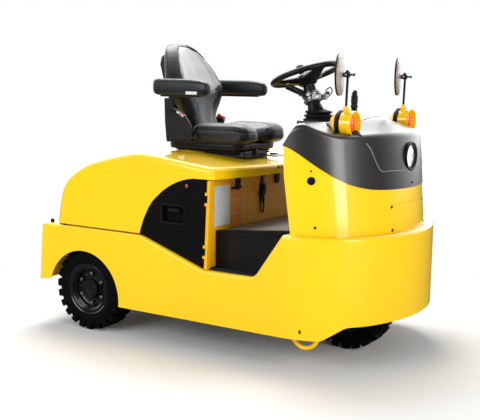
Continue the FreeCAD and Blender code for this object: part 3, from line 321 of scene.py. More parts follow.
# Black oxide on screws and clips.
BLACK_OXIDE = Finish("black_oxide_screw", "#151515", 0.36, (1.5, 0.02), ("#242322", 0.5, 12.0), 0.06,
    metallic=0.6, specular=0.25)
# Acid-proof paint on the battery's steel case.
BATTERY_PAINT = Finish("acid_proof_paint", "#2A2E32", 0.5, (4.0, 0.08), ("#3C4043", 0.5, 80.0), 0.08,
    specular=0.25)
# Polycarbonate signal bodies: translucent-looking amber yellow, very smooth.
SIGNAL_YELLOW = Finish("moulded_yellow_polycarbonate", "#FFC604", 0.2, (3.0, 0.02), ("#F8B804", 0.5, 25.0),
    coat=0.5, coat_roughness=0.05)
# Orange signal lens: its painted glow stands in for light reflected inside the lens.
SIGNAL_LENS = PaintedGlowFinish("moulded_orange_lens", "#EE4A1C", 0.14, (5.0, 0.25), ("#F77B28", 0.6, 12.0), 0.04, coat=0.7,
    coat_roughness=0.04, grain_kind=Grain.CELLS, painted_glow=0.12)
# Red tail lens: its painted glow stands in for light reflected inside the lens.
TAIL_LENS = PaintedGlowFinish("moulded_red_lens", "#9C1214", 0.14, (6.0, 0.25), ("#C4201C", 0.5, 14.0), 0.04, coat=0.7,
    coat_roughness=0.04, grain_kind=Grain.CELLS, painted_glow=0.04)
# Powder-coated mirror back, warm grey with a hammered look.
MIRROR_BACK = Finish("hammered_grey_paint", "#A79D90", 0.42, (7.0, 0.12), ("#7B7268", 0.8, 16.0), 0.08,
    coat=0.2, coat_roughness=0.2, grain_kind=Grain.CELLS)
SILVERED_GLASS = Finish("silvered_mirror_glass", "#DDE1E3", 0.03, (60.0, 0.01), ("#CDD2D5", 0.3, 60.0), 0.0,
    metallic=1.0)
# Aluminised reflector behind the headlight's glass, with a painted glow that stands in for its bright
# reflection.
REFLECTOR = PaintedGlowFinish("vapour_deposited_aluminium", "#E9ECEE", 0.08, (14.0, 0.15), ("#D6DADD", 0.4, 20.0), 0.03,
    metallic=1.0, grain_kind=Grain.CELLS, painted_glow=0.6)
HEADLIGHT_GLASS = Finish("pressed_lens_glass", "#F4F7F8", 0.04, (9.0, 0.12), ("#EEF3F5", 0.3, 30.0), 0.0,
    ior=1.52, transmission=0.92, grain_kind=Grain.CELLS)
# Printed polyester plates and decals: flat, faintly glossy.
BLANK_PLATE = Finish("printed_polyester_plate", "#D9DEE3", 0.38, (2.0, 0.01), ("#C3CBD3", 0.7, 28.0), coat=0.3,
    coat_roughness=0.2)
AMBER_DECAL = Finish("printed_amber_decal", "#EE8B00", 0.4, (2.0, 0.01), ("#E08000", 0.6, 34.0), coat=0.3,
    coat_roughness=0.2)
ORANGE_MARKER = Finish("moulded_orange_reflector", "#A8381A", 0.2, (3.0, 0.2), ("#98300F", 0.5, 8.0), 0.04,
    coat=0.6, coat_roughness=0.06, grain_kind=Grain.CELLS)
BUCKLE_RED = Finish("moulded_red_abs", "#E04A1C", 0.3, (1.2, 0.02), ("#CC3E16", 0.4, 12.0), 0.04)
# Woven polyester belt: a tight rib across the webbing.
BELT_WEBBING = Ribbed("woven_belt_webbing", "#17181A", 0.6, (2.0, 0.3), ("#232529", 0.5, 14.0), rib_mm=2.4,
    across="Z")
PALE_THREAD = Finish("bonded_nylon_thread", "#B9BEC6", 0.55, (0.8, 0.05), ("#8D9199", 0.5, 6.0))

NODES_BY_FINISH: dict[Finish, str] = {
    YELLOW_ENAMEL: "lower_body_shell rear_tow_plate hood_shell front_panel front_access_panel "
        "tie_down_rings",
    # The battery box's recessed front under the hood's lip takes the enamel with painted shade.
    YELLOW_ENAMEL_PAINTED_SHADE: "battery_box_front_panel",
    CHASSIS_PAINT: "chassis_frame tow_coupling front_fork hood_hinge_brackets",
    BATTERY_PAINT: "battery_block",
    TURNED_STEEL: "coupling_pin front_axle seat_slide_bar",
    TAIL_LENS: "rear_lamps",
    PAINTED_CASTING: "rear_axle_housing",
    BLACK_POWDER_COAT: "floor_pan mirror_arms",
    FLOOR_MATTING: "floor_mats",
    MOULDED_RUBBER: "rubber_stops column_boot pedals",
    BLACK_MOULDING: "hood_latch headlight_housing steering_column steering_wheel column_levers "
        "parking_brake_lever seat_belt",
    DOOR_COATING: "side_door_right side_door_left",
    COWL_ABS: "dash_cowl",
    HEADLIGHT_GLASS: "headlight_lens",
    SIGNAL_YELLOW: "turn_signals",
    SIGNAL_LENS: "turn_signal_lenses",
    MIRROR_BACK: "mirrors",
    SILVERED_GLASS: "mirror_glass",
    SEAT_SHELL_PP: "seat_suspension seat_back_shell",
    SEAT_VINYL: "seat_cushion seat_backrest armrest_right armrest_left",
    WHEEL_ENAMEL: "front_rim rear_rim_right rear_rim_left",
    TYRE_RUBBER: "front_tyre rear_tyre_right rear_tyre_left",
}


def dress_frame(finishes: dict[Finish, str]) -> None:
    """Gives every carried-over node its finish.

    Args:
        finishes: each finish with the nodes that take it.
    """
    by_node = {name: finish for finish, names in finishes.items() for name in names.split()}
    for name, shape in frame["nodes"].items():
        material = by_node[name].build()
        if not shape.data.materials:
            shape.data.materials.append(material)
        for place in shape.material_slots:
            place.link = "OBJECT"
            place.material = material


# ---------------------------------------------------------------- meshes
def turns(count: int, offset: float = 0.0) -> list[float]:
    """Returns the angles, in radians, that share a full turn equally."""
    return [2 * math.pi * (k + offset) / count for k in range(count)]


def squared(angle: float, across: float, up: float) -> tuple[float, float]:
    """Returns a point of a rounded square of half size 1; the smaller a power, the squarer its corners."""
    c, s = math.cos(angle), math.sin(angle)
    return math.copysign(abs(c) ** across, c), math.copysign(abs(s) ** up, s)


def straight_up(way: Vector) -> Matrix:
    """Returns the turn that carries +Z onto a direction."""
    return way.to_track_quat("Z", "Y").to_matrix().to_4x4()


def smooth_path(points: Sequence[Point], steps: int = 6, closed: bool = False) -> list[Vector]:
    """Draws a smooth line through some points.

    Args:
        points: the points to pass through.
        steps: stretches between two neighbouring points.
        closed: whether the line returns to its start.

    Returns:
        The line's points.
    """
    knots = [Vector(p) for p in points]
    count = len(knots)
    spans = count if closed else count - 1
    line = []
    for i in range(spans):
        if closed:
            a, b, c, d = (knots[(i + k) % count] for k in (-1, 0, 1, 2))
        else:
            a, b, c, d = (knots[min(max(i + k, 0), count - 1)] for k in (-1, 0, 1, 2))
        for step in range(steps):
            t = step / steps
            line.append(0.5 * (2 * b + (c - a) * t + (2 * a - 5 * b + 4 * c - d) * t * t
                + (3 * b - a - 3 * c + d) * t ** 3))
    if not closed:
        line.append(knots[-1])
    return line


def linked(name: str, data: bpy.types.ID) -> bpy.types.Object:
    """Makes an object of a mesh, lamp or camera and puts it in the scene."""
    made = bpy.data.objects.new(name, data)
    bpy.context.scene.collection.objects.link(made)
    return made


def on_side(points: Sequence[Point], side: int) -> list[Point]:
    """Returns points of the left half as they are on a side: +1 left, -1 right."""
    return [(x, side * y, z) for x, y, z in points]


class Shape:
    """A mesh under construction, in millimetres, in the vehicle's frame."""

    def __init__(self) -> None:
        """Starts with nothing."""
        self.mesh = bmesh.new()

    def grid(self, rows: Sequence[Sequence[Point]], close_rows: bool = False, caps: bool = True) -> "Shape":
        """Joins rings or rows of points into faces.

        Args:
            rows: rows with the same number of points each.
            close_rows: whether each row is a ring.
            caps: whether the first and last ring are filled.

        Returns:
            This shape.
        """
        made = [[self.mesh.verts.new(p) for p in row] for row in rows]
        width = len(made[0])
        for low, high in zip(made, made[1:]):
            for i in range(width if close_rows else width - 1):
                j = (i + 1) % width
                self.mesh.faces.new((low[i], low[j], high[j], high[i]))
        if close_rows and caps:
            self.mesh.faces.new(made[0][::-1])
            self.mesh.faces.new(made[-1])
        return self

    def block(self, low: Point, high: Point) -> "Shape":
        """Adds a box between two opposite corners."""
        (x0, x1), (y0, y1), (z0, z1) = (sorted(pair) for pair in zip(low, high))
        rows = [[(x0, y0, z), (x1, y0, z), (x1, y1, z), (x0, y1, z)] for z in (z0, z1)]
        return self.grid(rows, close_rows=True)

    def lathe(self, profile: Profile, centre: Point, axis: Point, sides: int = 48,
            ring: bool = False) -> "Shape":
        """Turns a profile about an axis.

        Args:
            profile: (radius, distance along the axis) corners.
            centre: where distance 0 lies.
            axis: the axis' direction.
            sides: facets round the axis.
            ring: whether the profile closes on itself, instead of on the axis.

        Returns:
            This shape.
        """
        turn = straight_up(Vector(axis))
        foot = Vector(centre)
        rows = []
        for radius, along in profile:
            rows.append([foot + turn @ Vector((radius * math.cos(a), radius * math.sin(a), along))
                for a in turns(sides)])
        if ring:
            rows.append(rows[0])
        return self.grid(rows, close_rows=True, caps=not ring)

    def rod(self, start: Point, end: Point, radius: float, end_radius: float | None = None,
            sides: int = 24) -> "Shape":
        """Adds a round bar or cone between two points."""
        way = Vector(end) - Vector(start)
        last = radius if end_radius is None else end_radius
        return self.lathe([(radius, 0), (last, way.length)], start, way, sides)

    def ball(self, centre: Point, radius: float, sides: int = 24) -> "Shape":
        """Adds a ball."""
        steps = sides // 2
        profile = [(radius * math.sin(math.pi * i / steps) + 0.001, -radius * math.cos(math.pi * i / steps))
            for i in range(steps + 1)]
        return self.lathe(profile, centre, (0, 0, 1), sides)

    def tube(self, path: Sequence[Point], radius: float, sides: int = 10, closed: bool = False,
            flat: float = 1.0) -> "Shape":
        """Sweeps a round section along a line.

        Args:
            path: the line.
            radius: the section's radius.
            sides: facets of the section.
            closed: whether the line is a loop.
            flat: the section's height as a share of its width.

        Returns:
            This shape.
        """
        line = [Vector(p) for p in path]
        count = len(line)
        rows = []
        side = None
        for i, spot in enumerate(line):
            ahead = line[(i + 1) % count] if closed or i < count - 1 else spot
            back = line[i - 1] if closed or i > 0 else spot
            way = (ahead - back).normalized()
            if side is None:
                side = way.orthogonal().normalized()
            side = (side - way * side.dot(way)).normalized()
            across = way.cross(side)
            rows.append([spot + side * (radius * math.cos(a)) + across * (radius * flat * math.sin(a))
                for a in turns(sides)])
        if closed:
            rows.append(rows[0])
        return self.grid(rows, close_rows=True, caps=not closed)

    def slab(self, outline: Sequence[Point], way: Point) -> "Shape":
        """Extrudes a flat outline by a vector."""
        shift = Vector(way)
        rows = [[Vector(p) for p in outline], [Vector(p) + shift for p in outline]]
        return self.grid(rows, close_rows=True)

    def piece(self, name: str, finish: Finish, body: str, **edges: float) -> bpy.types.Object:
        """Welds the shape and turns it into a finished object that rides with a body.

        Args:
            name: the object's name.
            finish: its finish.
            body: the body that carries it.
            edges: the bevel, sharp and rounds that finished() takes.

        Returns:
            The object.
        """
        bmesh.ops.remove_doubles(self.mesh, verts=self.mesh.verts, dist=WELD_MM)
        return finished(self.placed(name), finish, body, **edges)

    def placed(self, name: str) -> bpy.types.Object:
        """Turns the shape into an object of the scene, in metres."""
        bmesh.ops.recalc_face_normals(self.mesh, faces=self.mesh.faces)
        bmesh.ops.scale(self.mesh, vec=(MM, MM, MM), verts=self.mesh.verts)
        data = bpy.data.meshes.new(name)
        self.mesh.to_mesh(data)
        self.mesh.free()
        return linked(name, data)


def finished(made: bpy.types.Object, finish: Finish, body: str, bevel: float = 0.0, sharp: float = 35.0,
        rounds: int = 2) -> bpy.types.Object:
    """Shades an object, gives it its finish and lets it ride with a body.

    Args:
        made: the object.
        finish: its finish.
        body: the body that carries it.
        bevel: width of the rounding of its edges, in millimetres.
        sharp: edges that turn by more degrees than this stay sharp.
        rounds: facets across a rounded edge.

    Returns:
        The same object.
    """
    made.data.shade_smooth()
    made.data.set_sharp_from_angle(angle=math.radians(sharp))
    if not made.data.materials:
        made.data.materials.append(finish.build())
    if bevel:
        rounding = made.modifiers.new("rounded_edges", "BEVEL")
        rounding.width = bevel * MM
        rounding.segments = rounds
        rounding.limit_method = "ANGLE"
        rounding.angle_limit = math.radians(sharp)
        rounding.harden_normals = True
    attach(made, body)
    return made


# ---------------------------------------------------------------- geometry nodes
class Pattern:
    """A Geometry Nodes tree that repeats one small part, with named inputs."""

    def __init__(self, name: str) -> None:
        """Starts a tree with its inputs.

        Args:
            name: the tree's name.
        """
        self.tree = bpy.data.node_groups.new(name, "GeometryNodeTree")
        face = self.tree.interface
        face.new_socket("Geometry", in_out="INPUT", socket_type="NodeSocketGeometry")
        face.new_socket("Geometry", in_out="OUTPUT", socket_type="NodeSocketGeometry")
        self.sockets = {"Geometry": ""}
        for label, kind in (("Prototype", "NodeSocketObject"), ("Finish", "NodeSocketMaterial"),
                ("Play", "NodeSocketFloat"), ("Seed", "NodeSocketInt")):
            self.sockets[label] = face.new_socket(label, in_out="INPUT", socket_type=kind).identifier
        self.entry = add(self.tree, "NodeGroupInput")
        self.leave = add(self.tree, "NodeGroupOutput")

    def repeat(self) -> "Pattern":
        """Sets the prototype on every point, along the point's 'way' and turned by its 'spin'.

        Returns:
            This pattern.
        """
        tree = self.tree
        points = add(tree, "GeometryNodeMeshToPoints", None, {"Mesh": self.entry.outputs["Geometry"]})
        way = add(tree, "GeometryNodeInputNamedAttribute", {"data_type": "FLOAT_VECTOR", "Name": "way"})
        spin = add(tree, "GeometryNodeInputNamedAttribute", {"data_type": "FLOAT", "Name": "spin"})
        size = add(tree, "GeometryNodeInputNamedAttribute", {"data_type": "FLOAT", "Name": "size"})
        facing = add(tree, "FunctionNodeAlignRotationToVector", {"axis": "Z"},
            {"Vector": way.outputs["Attribute"]})
        play = add(tree, "FunctionNodeRandomValue", {"data_type": "FLOAT"},
            {"Max": self.entry.outputs["Play"], "Seed": self.entry.outputs["Seed"]})
        total = add(tree, "ShaderNodeMath", {"operation": "ADD"},
            {0: spin.outputs["Attribute"], 1: play.outputs[1]})
        angles = add(tree, "ShaderNodeCombineXYZ", None, {"Z": total.outputs[0]})
        about = add(tree, "FunctionNodeEulerToRotation", None, {"Euler": angles.outputs[0]})
        turned = add(tree, "FunctionNodeRotateRotation", {"rotation_space": "LOCAL"},
            {"Rotation": facing.outputs[0], "Rotate By": about.outputs[0]})
        shown = add(tree, "GeometryNodeObjectInfo", {"As Instance": True},
            {"Object": self.entry.outputs["Prototype"]})
        placed = add(tree, "GeometryNodeInstanceOnPoints", None,
            {"Points": points.outputs[0], "Instance": shown.outputs["Geometry"], "Rotation": turned.outputs[0],
            "Scale": size.outputs["Attribute"]})
        real = add(tree, "GeometryNodeRealizeInstances", None, {"Geometry": placed.outputs[0]})
        dressed = add(tree, "GeometryNodeSetMaterial", None,
            {"Geometry": real.outputs[0], "Material": self.entry.outputs["Finish"]})
        tree.links.new(dressed.outputs[0], self.leave.inputs[0])
        return self


@dataclass
class Repeat:
    """One small part repeated over a body.

    Each spot is a place in millimetres, the direction the part's +Z takes, its turn about
    that direction in degrees, and its scale.
    """

    name: str
    body: str
    finish: Finish
    seed: int = 7
    play_deg: float = 0.0
    spots: list[tuple[Point, Point, float, float]] = field(default_factory=list)

    def at(self, place: Point, way: Point, spin: float = 0.0, size: float = 1.0) -> None:
        """Adds one spot."""
        self.spots.append((place, way, spin, size))

    def build(self, prototype: Shape, sharp: float = 35.0) -> bpy.types.Object:
        """Repeats the prototype over the spots as one plain mesh.

        Args:
            prototype: the small part, around its own origin, along +Z.
            sharp: edges that turn by more degrees than this stay sharp.

        Returns:
            The finished object.
        """
        small = prototype.placed(self.name + "_part")
        points = bpy.data.meshes.new(self.name + "_points")
        points.from_pydata([tuple(Vector(place) * MM) for place, *_ in self.spots], [], [])
        for label, kind, values in (("way", "FLOAT_VECTOR", [c for s in self.spots for c in s[1]]),
                ("spin", "FLOAT", [math.radians(s[2]) for s in self.spots]),
                ("size", "FLOAT", [s[3] for s in self.spots])):
            attribute = points.attributes.new(label, kind, "POINT")
            attribute.data.foreach_set("vector" if kind == "FLOAT_VECTOR" else "value", values)
        holder = linked(self.name + "_points", points)
        pattern = Pattern(self.name + "_pattern").repeat()
        modifier = holder.modifiers.new("repeat", "NODES")
        modifier.node_group = pattern.tree
        modifier[pattern.sockets["Prototype"]] = small
        modifier[pattern.sockets["Finish"]] = self.finish.build()
        modifier[pattern.sockets["Play"]] = math.radians(self.play_deg)
        modifier[pattern.sockets["Seed"]] = self.seed
        graph = bpy.context.evaluated_depsgraph_get()
        mesh = bpy.data.meshes.new_from_object(holder.evaluated_get(graph))
        bpy.data.objects.remove(holder)
        bpy.data.objects.remove(small)
        return finished(linked(self.name, mesh), self.finish, self.body, sharp=sharp)


def hexagon_bolt(across: float, height: float, washer: float = 0.0) -> Shape:
    """Builds a hexagon head standing on its seat.

    Args:
        across: width of the hexagon's flats.
        height: height of the head.
        washer: radius of a washer under it, or 0.

    Returns:
        The head, along +Z.
    """
    shape = Shape()
    if washer:
        shape.lathe([(washer, 0), (washer, height * 0.2), (washer * 0.9, height * 0.3)], (0, 0, 0), (0, 0, 1),
            20)
    radius = across / math.sqrt(3)
    shape.lathe([(radius, 0), (radius, height * 0.85), (radius * 0.84, height)], (0, 0, 0), (0, 0, 1), 6)
    return shape


def button_screw(radius: float, height: float) -> Shape:
    """Builds a domed screw head with a socket, along +Z."""
    profile = [(radius, 0), (radius, height * 0.3), (radius * 0.85, height * 0.75), (radius * 0.5, height),
        (radius * 0.36, height), (radius * 0.36, height * 0.45), (ON_AXIS, height * 0.45)]
    return Shape().lathe(profile, (0, 0, 0), (0, 0, 1), 16)


# ---------------------------------------------------------------- wheels
@dataclass
class Wheel:
    """One wheel: its pressed disc with nuts, and its solid tyre with blocky lugs."""

    prefix: str
    body: str
    tyre_node: str
    centre: Point
    outward: int = -1
    tyre_radius: float = 190.0
    tyre_half: float = 57.5
    groove_depth: float = 17.0
    lugs: int = 23
    lug_start: float = 0.06
    flange_radius: float = 118.0
    seat_radius: float = 104.6
    nut_circle: float = 68.0
    nuts: int = 6
    dished: bool = True

    def spot(self, radius: float, angle: float, along: float) -> Point:
        """Returns a place at a radius, an angle in radians and a distance outwards."""
        x, y, z = self.centre
        return (x + radius * math.cos(angle), y + self.outward * along, z + radius * math.sin(angle))

    def lathe(self, profile: Profile, ring: bool = True) -> Shape:
        """Turns a profile about the axle, its distances measured outwards."""
        return Shape().lathe(profile, self.centre, (0, self.outward, 0), FINE_SIDES, ring)

    def carcass(self) -> bpy.types.Object:
        """Builds the tyre's body down to the bottom of its grooves."""
        base = self.tyre_radius - self.groove_depth
        half = self.tyre_half
        bead = self.flange_radius + 0.5
        inner = self.seat_radius
        wall = [(inner, 22), (bead, 20), (bead, 3.5), (bead + 5, 1), (bead + 9, 1.6), (bead + 11, 0.6),
            (bead + 34, 0.8), (bead + 38, 2.8), (base - 10, 3.4), (base - 2, 7), (base, 14)]
        profile = [*((radius, inset - half) for radius, inset in wall), (base + 1.5, 0),
            *((radius, half - inset) for radius, inset in wall[::-1])]
        made = self.lathe(profile).piece(self.prefix + "_tyre_carcass", TYRE_RUBBER, self.body, sharp=40)
        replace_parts(made, self.tyre_node)
        return made

    def lug(self, side: int) -> Shape:
        """Builds one lug around its own origin: +Z outwards from the axle, +X along the axle.

        Args:
            side: +1 for the row on the outer half of the tread, -1 for the inner row.

        Returns:
            The lug.
        """
        top = self.groove_depth - 0.4
        half = self.tyre_half
        sections = [(half * 0.06, 9.0, 0.0, -4.0, 0.0), (half * 0.4, 13.0, -2.0, -4.0, 0.0),
            (half * 0.74, 17.0, -5.0, -4.0, 0.2), (half - 3.4, 16.4, -6.5, -10.0, 1.6),
            (half - 0.7, 15.2, -7.0, -26.0, 9.0)]
        rows = []
        for along, reach, sweep, foot, drop in sections:
            tip = top - drop
            waist = reach * 0.93
            rows.append([(side * along, sweep - reach, foot), (side * along, sweep - waist, tip - 1.6),
                (side * along, sweep - waist + 1.8, tip), (side * along, sweep + waist - 1.8, tip),
                (side * along, sweep + waist, tip - 1.6), (side * along, sweep + reach, foot)])
        return Shape().grid(rows, close_rows=True)

    def tread(self) -> list[bpy.types.Object]:
        """Repeats the lugs round the tread, the two rows half a pitch apart."""
        made = []
        for side, offset in ((1, 0.0), (-1, 0.5)):
            row = Repeat(f"{self.prefix}_lugs_{'outer' if side > 0 else 'inner'}", self.body, TYRE_RUBBER)
            for angle in (turn + self.lug_start for turn in turns(self.lugs, offset)):
                place = self.spot(self.tyre_radius - self.groove_depth, angle, 0)
                row.at(place, (math.cos(angle), 0.0, math.sin(angle)), 90.0 * self.outward)
            made.append(row.build(self.lug(side), sharp=28))
        return made

    def disc(self) -> list[bpy.types.Object]:
        """Builds the rim's bead steps and the raised rings round the hub."""
        if not self.dished:
            lip = [(98.0, 52.1), *BEAD_LIP, (99.0, 53.0)]
            lips = self.lathe(lip)
            lips.lathe([(radius, -along) for radius, along in lip], self.centre, (0, self.outward, 0),
                FINE_SIDES, ring=True)
            return [lips.piece(self.prefix + "_rim_lips", WHEEL_ENAMEL, self.body, sharp=30)]
        steps = self.lathe([(96.4, 52.1), *BEAD_LIP, (103.0, 53.0), (101.4, 54.4), (98.2, 54.6), (95.6, 53.0),
            (94.2, 46.0), (91.4, 44.8), (90.4, 37.6), (87.6, 36.4), (86.4, 28.0), (84.2, 24.2), (81.0, 21.2),
            (79.0, 20.2), (87.6, 20.2)])
        ring = self.lathe([(46, 20.2), (53, 20.2), (53, 21.8), (50.4, 24.8), (46, 26.0)])
        hub = self.lathe([(ON_AXIS, 44.2), (42.3, 44.2), (42.3, 20.2), (43.2, 20.2), (43.4, 43.0), (41.0, 46.0),
            (36.0, 46.4), (34.4, 44.9), (29.2, 44.9), (27.4, 47.4), (17.2, 47.8), (15.0, 46.2),
            (ON_AXIS, 46.4)], ring=False)
        return [steps.piece(self.prefix + "_rim_steps", WHEEL_ENAMEL, self.body, sharp=30),
            ring.piece(self.prefix + "_hub_ring", WHEEL_ENAMEL, self.body, sharp=30),
            hub.piece(self.prefix + "_hub_cap", WHEEL_ENAMEL, self.body, sharp=30)]

    def fasteners(self) -> list[bpy.types.Object]:
        """Sets a nut with its stud on each bolt, and a small bolt between each two."""
        big = Repeat(self.prefix + "_wheel_nuts", self.body, ZINC_FASTENER, play_deg=40)
        small = Repeat(self.prefix + "_disc_bolts", self.body, DIE_CAST_ALUMINIUM, play_deg=60)
        way = (0.0, float(self.outward), 0.0)
        for angle in turns(self.nuts, 0.5):
            big.at(self.spot(self.nut_circle, angle, 30.1), way)
            small.at(self.spot(self.nut_circle - 1, angle + math.pi / self.nuts, 20.1), way)
        nut = hexagon_bolt(14.5, 6)
        nut.rod((0, 0, 6), (0, 0, 9), 4.0, 3.4, sides=14)
        return [big.build(nut), small.build(hexagon_bolt(7, 5))]

    def build(self) -> list[bpy.types.Object]:
        """Builds the wheel."""
        return [self.carcass(), *self.tread(), *self.disc(), *(self.fasteners() if self.dished else ())]


ASSEMBLIES += [Wheel("wheel_rr", "rear_wheel_right", "rear_tyre_right", (-518.0, -411.5, 190.0)),
    Wheel("wheel_rl", "rear_wheel_left", "rear_tyre_left", (-518.0, 411.5, 190.0), outward=1),
    Wheel("wheel_front", "front_wheel", "front_tyre", (582.0, 0.0, 190.0), dished=False)]


# ---------------------------------------------------------------- soft goods
def nearest_on(tree: BVHTree, spot: Point) -> tuple[Vector, Vector]:
    """Returns the nearest place on a surface, and its normal, both in metres."""
    place, normal, *_ = tree.find_nearest(Vector(spot) * MM)
    return place, normal


def surface_of(made: bpy.types.Object) -> BVHTree:
    """Returns a search tree of an object's own mesh."""
    return BVHTree.FromPolygons([v.co for v in made.data.vertices],
        [tuple(p.vertices) for p in made.data.polygons])


@dataclass
class Stuffed:
    """A sewn cover over foam: remeshed, swollen by simulated cloth, then sewn down along its seams."""

    name: str
    body: str
    node: str
    finish: Finish
    cap_mm: float = 10.0
    voxel_mm: float = 5.0
    pressure: float = 4.0
    fill: float = 0.7
    frames: int = 20
    evening: int = 24
    cloth_quality: int = 5
    relaxing: int = 6
    seams: list[tuple[list[Point], float, float]] = field(default_factory=list)

    def remeshed(self, made: bpy.types.Object) -> None:
        """Replaces the object's mesh by an even voxel mesh of it."""
        remesh = made.modifiers.new("even_mesh", "REMESH")
        remesh.mode = "VOXEL"
        remesh.voxel_size = self.voxel_mm * MM
        remesh.use_smooth_shade = True
        self.applied(made)

    def applied(self, made: bpy.types.Object) -> None:
        """Bakes the object's modifiers into its mesh."""
        graph = bpy.context.evaluated_depsgraph_get()
        baked = bpy.data.meshes.new_from_object(made.evaluated_get(graph))
        made.modifiers.clear()
        made.data = baked

    def swollen(self, made: bpy.types.Object) -> None:
        """Blows the cover up with simulated cloth, each point moving no further than the cap."""
        cloth = made.modifiers.new("stuffing", "CLOTH")
        cloth.settings.use_pressure = True
        cloth.settings.uniform_pressure_force = self.pressure
        cloth.settings.effector_weights.gravity = 0
        cloth.settings.quality = self.cloth_quality
        scene = bpy.context.scene
        start, end = scene.frame_start, scene.frame_end
        scene.frame_start, scene.frame_end = 1, self.frames
        for frame in range(1, self.frames + 1):
            scene.frame_set(frame)
        graph = bpy.context.evaluated_depsgraph_get()
        blown = bpy.data.meshes.new_from_object(made.evaluated_get(graph))
        made.modifiers.clear()
        cap = self.cap_mm * MM
        normals = [vertex.normal.copy() for vertex in made.data.vertices]
        swell = [min(max((moved.co - vertex.co).dot(normal), -cap / 4),
            cap) for vertex, moved, normal in zip(made.data.vertices, blown.vertices, normals)]
        pairs = [tuple(edge.vertices) for edge in made.data.edges]
        for _ in range(self.evening):
            total, count = list(swell), [1] * len(swell)
            for a, b in pairs:
                total[a] += swell[b]
                total[b] += swell[a]
                count[a] += 1
                count[b] += 1
            swell = [share / number for share, number in zip(total, count)]
        for vertex, normal, rise in zip(made.data.vertices, normals, swell):
            vertex.co += normal * rise
        scene.frame_set(1)
        scene.frame_start, scene.frame_end = start, end

    def sewn(self, made: bpy.types.Object) -> None:
        """Pulls the cover down along each seam."""
        normals = [v.normal.copy() for v in made.data.vertices]
        for path, depth, width in self.seams:
            line = [Vector(p) * MM for p in smooth_path(path, 10)]
            finder = KDTree(len(line))
            for index, spot in enumerate(line):
                finder.insert(spot, index)
            finder.balance()
            for vertex, normal in zip(made.data.vertices, normals):
                away = finder.find(vertex.co)[2] / MM
                if away < width:
                    vertex.co -= normal * (depth * MM * (1 - (away / width) ** 2) ** 2)

    def build(self, shape: Shape) -> bpy.types.Object:
        """Makes the cover.

        Args:
            shape: a closed form, a little smaller than the finished piece.

        Returns:
            The finished piece.
        """
        made = shape.placed(self.name)
        self.remeshed(made)
        self.swollen(made)
        smooth = made.modifiers.new("relaxed", "SMOOTH")
        smooth.iterations = self.relaxing
        smooth.factor = 0.5
        fine = made.modifiers.new("fine", "SUBSURF")
        fine.levels = fine.render_levels = 1
        self.applied(made)
        self.sewn(made)
        made.data.materials.clear()
        finished(made, self.finish, self.body, sharp=180)
        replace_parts(made, self.node)
        return made


def thread_on(name: str, made: bpy.types.Object, path: Sequence[Point], body: str, finish: Finish,
        radius: float = 1.2, lift: float = 0.2, dashes: float = 0.0) -> bpy.types.Object:
    """Lays a thread or piping on a surface.

    Args:
        name: the piece's name.
        made: the object it lies on.
        path: points near the surface.
        body: the body that carries it.
        finish: its finish.
        radius: its radius.
        lift: how far its middle stands off the surface.
        dashes: length of one stitch, or 0 for an unbroken line.

    Returns:
        The finished piece.
    """
    tree = surface_of(made)
    line = []
    for spot in smooth_path(path, 12):
        place, normal = nearest_on(tree, spot)
        line.append((place / MM) + normal * lift)
    shape = Shape()
    if not dashes:
        shape.tube(line, radius, 8)
    else:
        travelled, run = 0.0, [line[0]]
        for a, b in zip(line, line[1:]):
            parts = max(1, round((b - a).length / 1.5))
            for step in range(1, parts + 1):
                spot = a.lerp(b, step / parts)
                travelled += (b - a).length / parts
                if travelled % (dashes * 1.4) < dashes:
                    run.append(spot)
                    continue
                if len(run) > 2:
                    shape.tube(run, radius, 6)
                run = []
        if len(run) > 2:
            shape.tube(run, radius, 6)
    return shape.piece(name, finish, body, sharp=60)


def between(table: Profile, at: float) -> float:
    """Reads a smooth value out of a table of (key, value) pairs."""
    if at <= table[0][0]:
        return table[0][1]
    for (a, va), (b, vb) in zip(table, table[1:]):
        if at <= b:
            t = (at - a) / (b - a)
            return va + (vb - va) * (t * t * (3 - 2 * t))
    return table[-1][1]


# ---------------------------------------------------------------- seat
def eased(table: list[tuple[float, float]], at: float, reach: float = 30.0) -> float:
    """Returns a table's value at a place, with its corners rounded over a reach on both sides."""
    return sum(between(table, at + reach * step / 6) for step in range(-6, 7)) / 13


